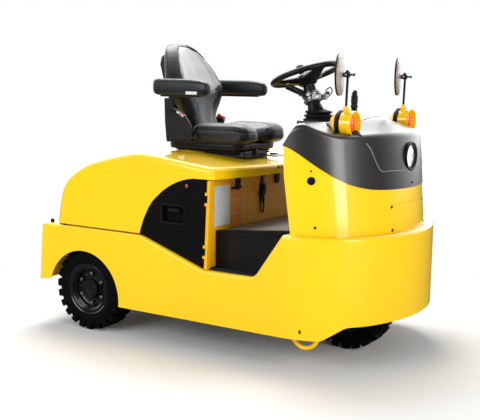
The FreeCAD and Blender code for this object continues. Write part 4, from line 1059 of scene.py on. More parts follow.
@dataclass
class Seat:
    """The driver's seat: cushion, backrest, covers, armrests, belt and suspension."""

    body: str = "hood"
    cushion_z: tuple[float, float] = (868.0, 953.0)
    cushion_x: tuple[float, float] = (-150.0, 140.0)
    cushion_half: float = 190.0
    back_top: float = 1313.0
    back_foot: float = 880.0
    armrest_y: float = 240.0

    def cushion_form(self) -> Shape:
        """Builds the cushion: two forward lobes, raised sides and a lower middle."""
        low, high = self.cushion_z
        rear, front = self.cushion_x
        rows = []
        count = 40
        for j in range(count + 1):
            y = -self.cushion_half + 2 * self.cushion_half * j / count
            side = abs(y) / self.cushion_half
            tip = front - 58 * math.exp(-(y / 44) ** 2) - 22 * max(0.0, side - 0.78) ** 1.5 / 0.103
            back = rear + 14 * max(0.0, side - 0.8) / 0.2
            top = high - 20 * math.exp(-(y / 92) ** 2) - 12 * max(0.0, side - 0.9) ** 2 / 0.01
            foot = low + 5 * max(0.0, side - 0.92) ** 2 / 0.0064
            ring = []
            for angle in turns(44):
                out, up = squared(angle, 0.3, 0.45)
                x = (tip + back) / 2 + out * (tip - back) / 2
                dip = -7 * math.exp(-((x - 10) / 90) ** 2) if up > 0 else 0.0
                roll = -12 * max(0.0, (x - tip + 52) / 52) ** 2 if up > 0 else 0.0
                ring.append((x, y, (top + foot) / 2 + up * (top - foot) / 2 + dip * (1 - side) + roll))
            rows.append(ring)
        return Shape().grid(rows, close_rows=True)

    def cushion(self) -> list[bpy.types.Object]:
        """Builds the cushion with its seams, with grey vinyl on its top middle as a painted highlight."""
        high = self.cushion_z[1]
        rear, front = self.cushion_x
        half = self.cushion_half + 2
        near = [(rear + 6, 6 - half, high - 22), (rear + 90, -half - 2, high - 23),
            (front - 70, -half - 2, high - 25), (front - 12, 24 - half, high - 28),
            (front + 2, 60 - half, high - 30), (front - 6, -62, high - 34)]
        welt = [*near, (front - 44, 0, high - 38), *on_side(near[::-1], -1)]
        bolster = [(rear + 12, 116, high + 2), (rear + 130, 112, high), (front - 70, 98, high),
            (front - 34, 62, high - 8), (front - 60, 20, high - 14)]
        maker = Stuffed("seat_cushion_cover", self.body, "seat_cushion", SEAT_VINYL, cap_mm=7, fill=0.8,
            seams=[(welt, 3.2, 9), (on_side(bolster, -1), 4.0, 10), (bolster, 4.0, 10)])
        made = maker.build(self.cushion_form())
        made.data.materials.append(SEAT_VINYL_GREY_AND_PAINTED_HIGHLIGHT.build())
        edge = [(x, y) for x, y, _ in bolster]
        # Upward-facing faces between the bolsters take the grey vinyl as a painted highlight.
        for face in made.data.polygons:
            x, y, z = (c / MM for c in face.center)
            if z > 905 and face.normal.z > 0.3 and abs(y) < between(edge, x):
                face.material_index = 1
        return [made, thread_on("cushion_piping", made, welt, self.body, BLACK_MOULDING, 2.2, 0.9)]

    def back_form(self) -> Shape:
        """Builds the backrest: a narrow waist, wide shoulders and a domed top."""
        front = [(876, -157), (1000, -194), (1100, -206), (1180, -246), (1250, -290), (1322, -346)]
        rear = [(876, -253), (980, -269), (1069, -290), (1180, -320), (1238, -350), (1322, -392)]
        half = [(876, 98), (950, 100), (985, 112), (1020, 138), (1055, 160), (1100, 178), (1132, 181),
            (1160, 172), (1187, 161), (1207, 151), (1234, 134), (1258, 117), (1281, 97), (1300, 70), (1316, 42)]
        edge_back = [(876, 26), (985, 32), (1025, 20), (1060, 4), (1100, 0)]
        rows = []
        steps = 54
        for j in range(steps + 1):
            z = self.back_foot + (self.back_top - self.back_foot) * j / steps
            fx, rx, wide = eased(front, z), eased(rear, z), eased(half, z, 18)
            lean = min(1.0, math.sqrt(max(self.back_top - z, 0.0) / 24 + 0.16))
            middle, depth = (fx + rx) / 2, (fx - rx) / 2 * lean
            ring = []
            for angle in turns(40):
                c = math.cos(angle)
                full = wide + (10 if c < 0 else 0) * min(1.0, max(z - 1100, 0) / 60)
                ahead, aside = squared(angle, 0.4, 0.5 if c > 0 else 0.34)
                x, y = middle + depth * ahead, full * aside
                if c > 0:
                    share = min(1.0, abs(y) / max(wide, 1))
                    x -= eased(edge_back, z) * share ** 3
                    bulge = 12 * math.exp(-((share - 0.8) / 0.16) ** 2) - 9 * (1 - share) ** 1.2
                    x += bulge * min(1.0, c * 2)
                ring.append((x, y, z))
            rows.append(ring)
        return Shape().grid(rows, close_rows=True)

    def backrest(self) -> list[bpy.types.Object]:
        """Builds the backrest with its grey middle panel, painted paler on the crown as a painted highlight,
        its seams and pale stitching.
        """
        panel = [(-158, 52, 890), (-178, 50, 950), (-192, 58, 1010), (-200, 82, 1060), (-208, 100, 1100),
            (-222, 136, 1136)]
        crown = [(-222, 136, 1136), (-240, 132, 1180), (-262, 112, 1226), (-292, 80, 1268), (-322, 40, 1294),
            (-336, 0, 1302)]
        cross = [(-208, -100, 1100), (-204, -50, 1088), (-202, 0, 1084), (-204, 50, 1088), (-208, 100, 1100)]
        maker = Stuffed("seat_backrest_cover", self.body, "seat_backrest", SEAT_VINYL, cap_mm=4, fill=0.9,
            seams=[(on_side(panel, -1), 4.2, 9), (panel, 4.2, 9), (on_side(crown, -1), 3.2, 9), (crown, 3.2, 9),
            (cross, 3.4, 9)])
        made = maker.build(self.back_form())
        made.data.materials.append(SEAT_VINYL_GREY_AND_PAINTED_HIGHLIGHT.build())
        made.data.materials.append(SEAT_VINYL_PAINTED_HIGHLIGHT.build())
        # The middle panel takes the grey vinyl below 1092 mm and, above it, the paler vinyl as a painted
        # highlight on the crown.
        edge = [(z, y) for _, y, z in panel + crown[1:]]
        for face in made.data.polygons:
            x, y, z = (c / MM for c in face.center)
            if 880 < z < 1304 and abs(y) < between(edge, z) and face.normal.x > 0.25:
                face.material_index = 1 if z < 1092 else 2
        outer = [(x, y + 5, z) for x, y, z in panel[3:] + crown[1:4]]
        stitches = [thread_on("backrest_stitching_" + word, made, on_side(outer, side), self.body, PALE_THREAD,
            0.9, 0.2, dashes=7.0) for side, word in SIDES]
        return [made, *stitches]

    def armrest_form(self) -> Shape:
        """Builds one armrest's foam along +X around Y = 0."""
        stations = [(-313, 1092, 1136, 12), (-307, 1081, 1146, 19), (-288, 1075, 1150, 21),
            (-200, 1074, 1150, 21.5), (-110, 1073, 1149, 21.5), (-56, 1071, 1144, 21), (-24, 1075, 1135, 19),
            (-12, 1087, 1121, 12)]
        rows = []
        for x, low, high, wide in stations:
            rows.append([(x, wide * out, (low + high) / 2 + (high - low) / 2 * up)
                for out, up in (squared(a, 0.6, 0.6) for a in turns(28))])
        return Shape().grid(rows, close_rows=True)

    def armrests(self) -> list[bpy.types.Object]:
        """Builds both armrests: foam on a plastic tray, an adjusting knob and a blank label."""
        made = []
        for side, word in SIDES:
            body = "armrest_" + word
            form = self.armrest_form()
            bmesh.ops.translate(form.mesh, verts=form.mesh.verts, vec=(0, side * self.armrest_y, 0))
            rim = [(x, side * (self.armrest_y + w), 1092) for x, w in ((-312, -8), (-296, -21), (-180, -23),
                (-60, -22), (-32, -12), (-27, 0), (-32, 12), (-60, 22), (-180, 23), (-296, 21), (-312, 8))]
            foam = Stuffed("armrest_foam_" + word, body, "armrest_" + word, SEAT_VINYL, cap_mm=3, voxel_mm=4,
                fill=0.95, seams=[(rim, 2.0, 6)]).build(form)
            outer = side * (self.armrest_y + 22.6)
            hub = Shape().rod((-295, side * 190.6, 1108), (-295, side * 218, 1108), 16.5)
            hub.rod((-295, side * 193, 1108), (-295, side * 199, 1108), 21)
            knob = Shape().lathe([(ON_AXIS, 0), (9, 0), (10.5, 2), (10.5, 7), (9, 9), (ON_AXIS, 9.4)],
                (-36, outer - side * 1.5, 1093), (0, side, 0), 20)
            tray = Shape().block((-270, side * self.armrest_y - 14, 1069),
                (-60, side * self.armrest_y + 14, 1076))
            label = Shape().block((-122, outer, 1081), (-62, outer + side, 1094))
            made += [foam, hub.piece("armrest_pivot_" + word, BLACK_MOULDING, body, bevel=1),
                knob.piece("armrest_knob_" + word, BLACK_MOULDING, body),
                tray.piece("armrest_tray_" + word, BLACK_MOULDING, body, bevel=2),
                label.piece("armrest_blank_label_" + word, BLANK_PLATE, body)]
        return made

    def belt(self) -> list[bpy.types.Object]:
        """Builds the lap belt's tongue and webbing on the right and the buckle on the left."""
        lean = Matrix.Rotation(math.radians(24), 4, "Y")
        foot = Vector((-262, 199, 926))

        def leaning(shape: Shape) -> Shape:
            """Leans a shape forward about the buckle's foot."""
            bmesh.ops.transform(shape.mesh, matrix=Matrix.Translation(foot) @ lean, verts=shape.mesh.verts)
            return shape

        buckle = leaning(Shape().block((-22, -11, -6), (22, 10, 42)))
        button = leaning(Shape().block((-20, -9, 42.4), (20, 8, 56)))
        stalk = Shape().tube(smooth_path([(-200, 201, 848), (-204, 201, 880), (-226, 200, 908),
            (-256, 199, 926)], 6), 7, 12, flat=0.45)
        web_line = smooth_path([(-152, -226, 975), (-172, -228, 986), (-196, -228, 1000), (-222, -229, 1008),
            (-250, -229, 1000), (-262, -226, 978)], 5)
        rows = []
        for spot in web_line:
            rows.append([(spot.x, spot.y - 3, spot.z + 9), (spot.x, spot.y + 14, spot.z + 11),
                (spot.x, spot.y + 14, spot.z + 9.6), (spot.x, spot.y - 3, spot.z + 7.6)])
        webbing = Shape().grid(rows, close_rows=True)
        tongue = Shape().slab([(-194, -234, 1000), (-160, -234, 979), (-156, -234, 985), (-190, -234, 1006)],
            (0, 20, 0))
        tab = Shape().slab([(-180, -235, 993), (-164, -235, 983), (-161, -235, 988), (-177, -235, 998)],
            (0, -2.4, 0))
        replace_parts(made := buckle.piece("belt_buckle", BLACK_MOULDING, self.body, bevel=2.5), "seat_belt")
        return [made, stalk.piece("belt_stalk", BLACK_MOULDING, self.body),
            button.piece("belt_buckle_button", BUCKLE_RED, self.body, bevel=1.5),
            tongue.piece("belt_tongue", BLANK_PLATE, self.body, bevel=0.8),
            webbing.piece("belt_webbing", BELT_WEBBING, self.body),
            tab.piece("belt_tongue_tab", BUCKLE_RED, self.body, bevel=0.6)]

    def shell(self) -> list[bpy.types.Object]:
        """Builds the rear shell, the recliner covers with their raised rims and the recliner lever."""
        rear = [(905, -262, -285, 96), (980, -274, -306, 112), (1060, -290, -330, 128), (1150, -306, -360, 134),
            (1215, -322, -384, 130), (1250, -334, -384, 116), (1268, -342, -368, 92)]
        rows = []
        for z, front_x, rear_x, half in rear:
            rows.append([((front_x + rear_x) / 2 + (front_x - rear_x) / 2 * ahead, half * aside,
                z) for ahead, aside in (squared(a, 0.6, 0.45) for a in turns(32))])
        back = Shape().grid(rows, close_rows=True).piece("seat_rear_shell", SEAT_SHELL_PP, self.body, bevel=3,
            sharp=50, rounds=3)
        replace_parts(back, "seat_back_shell")
        ribs = Shape()
        for y in (-84, -42, 0, 42, 84):
            ribs.tube(smooth_path([(-306, y, 985), (-331, y, 1060), (-361, y, 1150), (-384, y, 1214)], 5), 3.2,
                8)
        covers, rims = Shape(), Shape()
        for side in (-1, 1):
            curve = [(-112, 876), (-113, 905), (-122, 940), (-140, 968), (-164, 990), (-192, 1000),
                (-222, 1006), (-232, 1030)]
            crest = [(-232, 1062), (-268, 1062), (-264, 960), (-256, 876)]
            if side > 0:
                curve = [(-150, 876), (-154, 892), (-170, 904), (-200, 912), (-226, 914), (-238, 916)]
                crest = [(-262, 916), (-256, 876)]
            front = [(p.x, p.z) for p in smooth_path([(x, 0, z) for x, z in curve], 4)]
            outline = front + crest
            covers.slab([(x, side * 212, z) for x, z in outline], (0, side * 16, 0))
            rims.tube([(x - 5, side * 229, z - 3) for x, z in front], 4.6, 10, flat=0.8)
        bolts = Repeat("recliner_bolts", self.body, BLACK_OXIDE)
        for x, z in ((-246, 892), (-132, 892), (-246, 990)):
            bolts.at((x, -228, z), (0, -1, 0))
        bolts.at((-240, 228, 894), (0, 1, 0))
        lever = Shape().tube(smooth_path([(-160, -229, 896), (-140, -238, 892), (-104, -240, 890),
            (-86, -238, 893)], 6), 5.0, 10)
        lever.ball((-84, -238, 893), 8)
        return [back, ribs.piece("back_shell_ribs", SEAT_SHELL_PP, self.body),
            covers.piece("recliner_covers", SEAT_SHELL_PP, self.body, bevel=4, rounds=3),
            rims.piece("recliner_cover_rims", SEAT_SHELL_PP, self.body), bolts.build(button_screw(5.5, 3.6)),
            lever.piece("recliner_lever", BLACK_MOULDING, self.body)]

    def rounded_tray(self, stations: Sequence[tuple[float, float]], rear: float, front: float,
            half: float) -> Shape:
        """Builds a round-cornered tray out of (height, how far it is drawn in) pairs.

        Args:
            stations: heights and insets, from the foot up.
            rear: its rear edge.
            front: its front edge.
            half: half its width.

        Returns:
            The tray.
        """
        middle, reach = (front + rear) / 2, (front - rear) / 2
        rows = [[(middle + (reach - inset) * ahead, (half - inset) * aside,
            z) for ahead, aside in (squared(a, 0.22, 0.22) for a in turns(48, 0.5))] for z, inset in stations]
        return Shape().grid(rows, close_rows=True)

    def suspension(self) -> list[bpy.types.Object]:
        """Builds the suspension: its upper tray, the rubber pleats, the lower case and its controls."""
        upper = self.rounded_tray([(834, 9), (835, 4), (840, 1), (848, 0), (849, 2.2), (851, 2.2), (852, 0),
            (860, 0), (864, 2), (865.4, 6)], -298, 96, 170)
        made = upper.piece("suspension_upper_tray", SEAT_SHELL_PP, self.body, bevel=2, sharp=30)
        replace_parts(made, "seat_suspension")
        pleats = self.rounded_tray([(816, 6), (818, 0), (821, 0), (823, 8), (826, 8), (828, 0), (831, 0),
            (833, 8), (835, 8)], -280, 88, 150)
        lower = self.rounded_tray([(800, 4), (803, 0), (814, 0), (817, 4)], -262, 84, 128)
        front_box = Shape().block((50, -128, 802), (105, 50, 833))
        dial = Shape().lathe([(ON_AXIS, 0), (14, 0), (15, 3), (15, 8), (12, 11), (ON_AXIS, 11.5)],
            (103.2, -38, 826), (1, 0, 0), 28)
        grips = Repeat("weight_dial_grips", self.body, BLACK_MOULDING)
        for angle in turns(12):
            grips.at((108.6, -38 + 15 * math.cos(angle), 826 + 15 * math.sin(angle)), (1, 0, 0))
        frame = Shape()
        for side in (-1, 1):
            frame.block((-250, side * 96 - 14, 866.6), (100, side * 96 + 14, 872.4))
            frame.block((-262, side * 214 - 3, 866), (-130, side * 214 + 3, 880))
        frame.block((-262, -216, 866.8), (-214, 216, 873))
        grip = Shape().rod((0, 0, -4), (0, 0, 4), 1.8, sides=8)
        return [made, pleats.piece("suspension_pleats", MOULDED_RUBBER, self.body, sharp=50),
            lower.piece("suspension_lower_case", SEAT_SHELL_PP, self.body, bevel=1.5),
            front_box.piece("suspension_front_box", BLACK_MOULDING, self.body, bevel=5, rounds=3),
            dial.piece("weight_dial", BLACK_MOULDING, self.body), grips.build(grip),
            frame.piece("seat_frame_rails", BLACK_POWDER_COAT, self.body, bevel=1)]

    def build(self) -> list[bpy.types.Object]:
        """Builds the seat."""
        return [*self.cushion(), *self.backrest(), *self.armrests(), *self.belt(), *self.shell(),
            *self.suspension()]


ASSEMBLIES.append(Seat())


# ---------------------------------------------------------------- front: cowl, headlight, signals, mirrors
def cad_surface(node: str) -> BVHTree:
    """Returns a search tree of a CAD node's surface, in metres."""
    return surface_of(bpy.data.objects[node])


def hit(tree: BVHTree, start: Point, way: Point) -> Hit | None:
    """Returns where a line meets a surface, and the normal there, in mm, or None where it misses."""
    place, normal, *_ = tree.ray_cast(Vector(start) * MM, Vector(way))
    return None if place is None else (place / MM, normal)


def front_hit(tree: BVHTree, y: float, z: float) -> Hit:
    """Returns where a line from straight ahead meets a surface, and the normal there, in mm.

    Args:
        tree: the surface.
        y: the line's Y.
        z: the line's height.

    Returns:
        The place and the outward normal.
    """
    return hit(tree, (2000, y, z), (-1, 0, 0))


def side_hit(tree: BVHTree, x: float, z: float, side: int = -1) -> Hit:
    """Returns where a line from one side meets a surface, and the normal there, in mm."""
    return hit(tree, (x, side * 1500, z), (0, -side, 0))


def top_hit(tree: BVHTree, x: float, y: float) -> Hit:
    """Returns where a line from above meets a surface, and the normal there, in mm."""
    return hit(tree, (x, y, 2500), (0, 0, -1))


@dataclass
class Cowl:
    """The vacuum-formed cowl's crease, seam, bead and gaskets, and the front panel's screws."""

    body: str = "chassis"
    crease: tuple[Point, ...] = ((754, -277, 910), (767, -257, 882), (780, -236, 834), (794, -211, 798),
        (812, -172, 797), (818, -133, 796), (830, -60, 794))

    def crease_ridge(self) -> bpy.types.Object:
        """Builds the pressed ridge that frames the headlight's field, pale as a painted highlight."""
        tree = cad_surface("dash_cowl")
        shape = Shape()
        for side in (-1, 1):
            line = []
            for x, y, z in smooth_path(self.crease, 8):
                place, normal = front_hit(tree, y * -side, z)
                line.append(place + normal * 0.3)
            shape.tube(line, 1.5, 8)
        return shape.piece("cowl_crease_ridge", PAINTED_EDGE_HIGHLIGHT, self.body)

    def lower_bead(self) -> bpy.types.Object:
        """Builds the dark rubber bead between the cowl and the yellow panel."""
        tree = cad_surface("front_panel")
        points = [(502, 899), (530, 889), (568, 866), (605, 839), (639, 814), (671, 791), (701, 770),
            (728, 752)]
        shape = Shape()
        for side in (-1, 1):
            line = []
            for spot in smooth_path([(x, 0, z) for x, z in points], 6):
                found = side_hit(tree, spot.x, spot.z - 4, side)
                if found:
                    line.append(found[0] + found[1] * 0.4 + Vector((0, 0, 3)))
            if len(line) > 2:
                shape.tube(line, 1.6, 6)
        return shape.piece("cowl_edge_bead", MOULDED_RUBBER, self.body)

    def panel_bolts(self) -> list[bpy.types.Object]:
        """Sets the front panel's and the access panel's screws and the black plug."""
        panel, access = cad_surface("front_panel"), cad_surface("front_access_panel")
        screws = Repeat("front_panel_screws", self.body, BLACK_OXIDE)
        for side in (-1, 1):
            for x, z, size in ((610, 803, 0.7), (633, 585, 0.9)):
                screws.at(*side_hit(panel, x, z, side), 0, size)
            for y, z in ((161, 652), (164, 560)):
                screws.at(*front_hit(access, side * y, z))
        screws.at(*front_hit(cad_surface("dash_cowl"), 0, 740), 0, 0.9)
        plug = Shape()
        for side in (-1, 1):
            plug.lathe([(ON_AXIS, 3.4), (9, 3.2), (15.5, 1.6), (16.4, 0), (16.4, -0.2), (ON_AXIS, -0.2)],
                *side_hit(panel, 612, 765, side), 28)
        return [screws.build(button_screw(6.2, 3.4)), plug.piece("panel_plug", MOULDED_RUBBER, self.body)]

    def gaskets(self) -> bpy.types.Object:
        """Builds the black gasket plate under each signal, pointed at its ends."""
        tree = cad_surface("dash_cowl")
        shape = Shape()
        outline = [(585, 0), (606, 30), (706, 34), (744, 0), (706, -34), (606, -30)]
        for side in (-1, 1):
            low, high = [], []
            for x, y in outline:
                place, normal = top_hit(tree, x, side * 286 + y)
                low.append(place - normal * 0.5)
                high.append(place + normal * 3.0)
            shape.grid([low, high], close_rows=True)
        return shape.piece("signal_gaskets", MOULDED_RUBBER, self.body, bevel=0.8)

    def top_seam(self) -> bpy.types.Object:
        """Builds the short dark seam across the cowl's top."""
        tree = cad_surface("dash_cowl")
        line = []
        for y in range(-120, 121, 12):
            place, normal = top_hit(tree, 668, y)
            line.append(place + normal * 0.3)
        return Shape().tube(line, 1.3, 6).piece("cowl_top_seam", BLACK_MOULDING, self.body)

    def build(self) -> list[bpy.types.Object]:
        """Builds the cowl's details."""
        return [self.crease_ridge(), self.lower_bead(), *self.panel_bolts(), self.gaskets(), self.top_seam()]


@dataclass
class Headlight:
    """The round headlight: its bezel, reflector, bulb and pressed lens."""

    body: str = "chassis"
    height: float = 847.0
    face_x: float = 837.0

    def turned(self, profile: Profile, ring: bool = False) -> Shape:
        """Turns a profile about the headlight's axis, its distances measured from the bezel's face."""
        return Shape().lathe(profile, (self.face_x, 0, self.height), (1, 0, 0), 64, ring)

    def build(self) -> list[bpy.types.Object]:
        """Builds the headlight."""
        bezel = self.turned([(49.4, -13), (49.4, -1), (51, 1.2), (54.5, 2.2), (58.6, 0.8), (59.2, -2),
            (58.2, -2.2), (54, -0.4), (50.6, -1.6), (50.4, -13)], ring=True)
        reflector = self.turned([(47.6, -15), (43, -19.5), (34, -24), (22, -27), (10, -28.6), (ON_AXIS, -28.8),
            (ON_AXIS, -29.6), (11, -29.4), (24, -28), (36, -25), (45, -20), (48.6, -15)])
        bulb = self.turned([(ON_AXIS, -28.6), (7, -28.4), (8, -24), (7, -19), (4, -16), (ON_AXIS, -15.4)])
        lens = self.turned([(ON_AXIS, -2.6), (14, -3.0), (28, -4.4), (40, -7.0), (48.2, -10.6), (48.2, -13.8),
            (40, -10.0), (28, -7.4), (14, -6.0), (ON_AXIS, -5.6)])
        made = [bezel.piece("headlight_bezel", BLACK_MOULDING, self.body, sharp=40),
            reflector.piece("headlight_reflector", REFLECTOR, self.body),
            bulb.piece("headlight_bulb_cap", DIE_CAST_ALUMINIUM, self.body),
            lens.piece("headlight_pressed_lens", HEADLIGHT_GLASS, self.body)]
        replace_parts(made[3], "headlight_lens")
        return made


@dataclass
class Signals:
    """The two turn signals with their black bands, hoods and lenses."""

    body: str = "chassis"
    x: float = 661.0
    y: float = 286.0
    height: float = 982.0

    def turned(self, side: int, profile: Profile, ring: bool = False) -> Shape:
        """Turns a profile about one signal's axis, its distances measured forwards from its middle."""
        return Shape().lathe(profile, (self.x, side * self.y, self.height), (1, 0, 0), 56, ring)

    def build(self) -> list[bpy.types.Object]:
        """Builds both signals' details."""
        made = []
        for side, word in SIDES:
            band = self.turned(side, [(50.2, -15), (52.4, -14), (53.0, -11), (53.0, 1), (52.4, 4), (50.2, 5)],
                True)
            ring = self.turned(side, [(36.4, 34.2), (41.4, 36.0), (44.6, 44.0), (46.4, 52.0), (48.4, 53.4),
                (50.6, 52.6), (51.4, 49.0), (51.2, 31.0), (50.1, 30.6), (50.0, 38.2), (46.0, 44.2),
                (42.0, 44.2), (41.8, 33.4)], True)
            rear_ring = self.turned(side, [(50.2, -19), (51.6, -20), (51.8, -17), (51.4, -15.6), (50.2, -15.4)],
                True)
            lens = self.turned(side, [(ON_AXIS, 40.4), (14, 39.8), (26, 38.2), (34, 36.2), (38, 34.0),
                (41.6, 33.2), (41.6, 30.0), (ON_AXIS, 30.0)])
            rays = Repeat("signal_lens_flutes_" + word, self.body, SIGNAL_LENS)
            for count, radius, height in ((8, 12, 40.0), (13, 21, 39.0), (18, 30, 37.2)):
                for angle in turns(count):
                    rays.at((self.x + height, side * self.y + radius * math.cos(angle),
                        self.height + radius * math.sin(angle)), (1, 0, 0), math.degrees(angle))
            bolts = Repeat("signal_screws_" + word, self.body, BLACK_OXIDE)
            for index in range(3):
                angle = math.radians(90 + 120 * index)
                bolts.at((self.x - 43.2, side * self.y + 18 * math.cos(angle),
                    self.height + 18 * math.sin(angle)), (-1, 0, 0))
            piece = lens.piece("signal_lens_" + word, SIGNAL_LENS, self.body)
            if side < 0:
                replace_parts(piece, "turn_signal_lenses")
            made += [band.piece("signal_band_" + word, MOULDED_RUBBER, self.body),
                ring.piece("signal_ring_" + word, SIGNAL_YELLOW, self.body, sharp=40),
                rear_ring.piece("signal_rear_ring_" + word, SIGNAL_YELLOW, self.body, sharp=40), piece,
                rays.build(Shape().ball((0, 0, -0.6), 3.0, 10)), bolts.build(button_screw(3.6, 2.2))]
        return made


@dataclass
class Mirrors:
    """The two round mirrors: rims, back bosses, ball joints and clamps."""

    body: str = "chassis"
    y: float = 286.0
    height: float = 1172.0
    yaw: float = 17.0

    def build(self) -> list[bpy.types.Object]:
        """Builds both mirrors' details."""
        made = []
        yaw = math.radians(self.yaw)
        way = Vector((math.cos(yaw), math.sin(yaw), 0))
        z = self.height
        for side, word in SIDES:
            y = side * self.y
            back = Vector((648.5, y, z))
            rim = Shape().lathe([(76.2, -14.4), (80.4, -15.0), (82.2, -13.0), (82.4, -9.0), (81.2, -7.6),
                (81.0, -8.0), (81.0, -13.9), (76.2, -13.9)], back, way, 72, ring=True)
            dome = Shape().lathe([(ON_AXIS, 6.2), (26, 5.8), (52, 4.2), (70, 2.0), (80.4, 0.1), (ON_AXIS, 0.1)],
                back, way, 72)
            boss = Shape().rod(back + way * 3, back + way * 13, 10, 8)
            boss.ball(back + way * 15, 8.5)
            clamp = Shape().block((664, y - 9, z - 11), (682, y + 9, z + 11))
            cross = Shape().rod((651, y, z), (701, y, z), 3.4)
            cross.rod((699, y, z), (704, y, z), 6.2, sides=6)
            nut = Shape().rod((673, y - 9, z), (673, y - 15, z), 6, sides=6)
            ball = Shape().ball((671, y, 1040), 12.5)
            collar = Shape().lathe([(14.5, -10), (15, -7), (13, -3), (11.5, 0), (9, 0), (9, -10)],
                (671, y, 1040), (0, 0, 1), 28, ring=True)
            cap = Shape().ball((671.6, y, z + 13), 5.6, 16)
            made += [rim.piece("mirror_rim_" + word, MOULDED_RUBBER, self.body),
                dome.piece("mirror_back_dome_" + word, MIRROR_BACK, self.body),
                boss.piece("mirror_boss_" + word, BLACK_MOULDING, self.body),
                clamp.piece("mirror_clamp_" + word, BLACK_POWDER_COAT, self.body, bevel=2),
                cross.piece("mirror_cross_rod_" + word, BLACK_POWDER_COAT, self.body),
                nut.piece("mirror_clamp_nut_" + word, ZINC_FASTENER, self.body),
                ball.piece("mirror_post_ball_" + word, SIGNAL_YELLOW, self.body),
                collar.piece("mirror_post_collar_" + word, SIGNAL_YELLOW, self.body),
                cap.piece("mirror_post_cap_" + word, BLACK_MOULDING, self.body)]
        return made


ASSEMBLIES += [Cowl(), Headlight(), Signals(), Mirrors()]


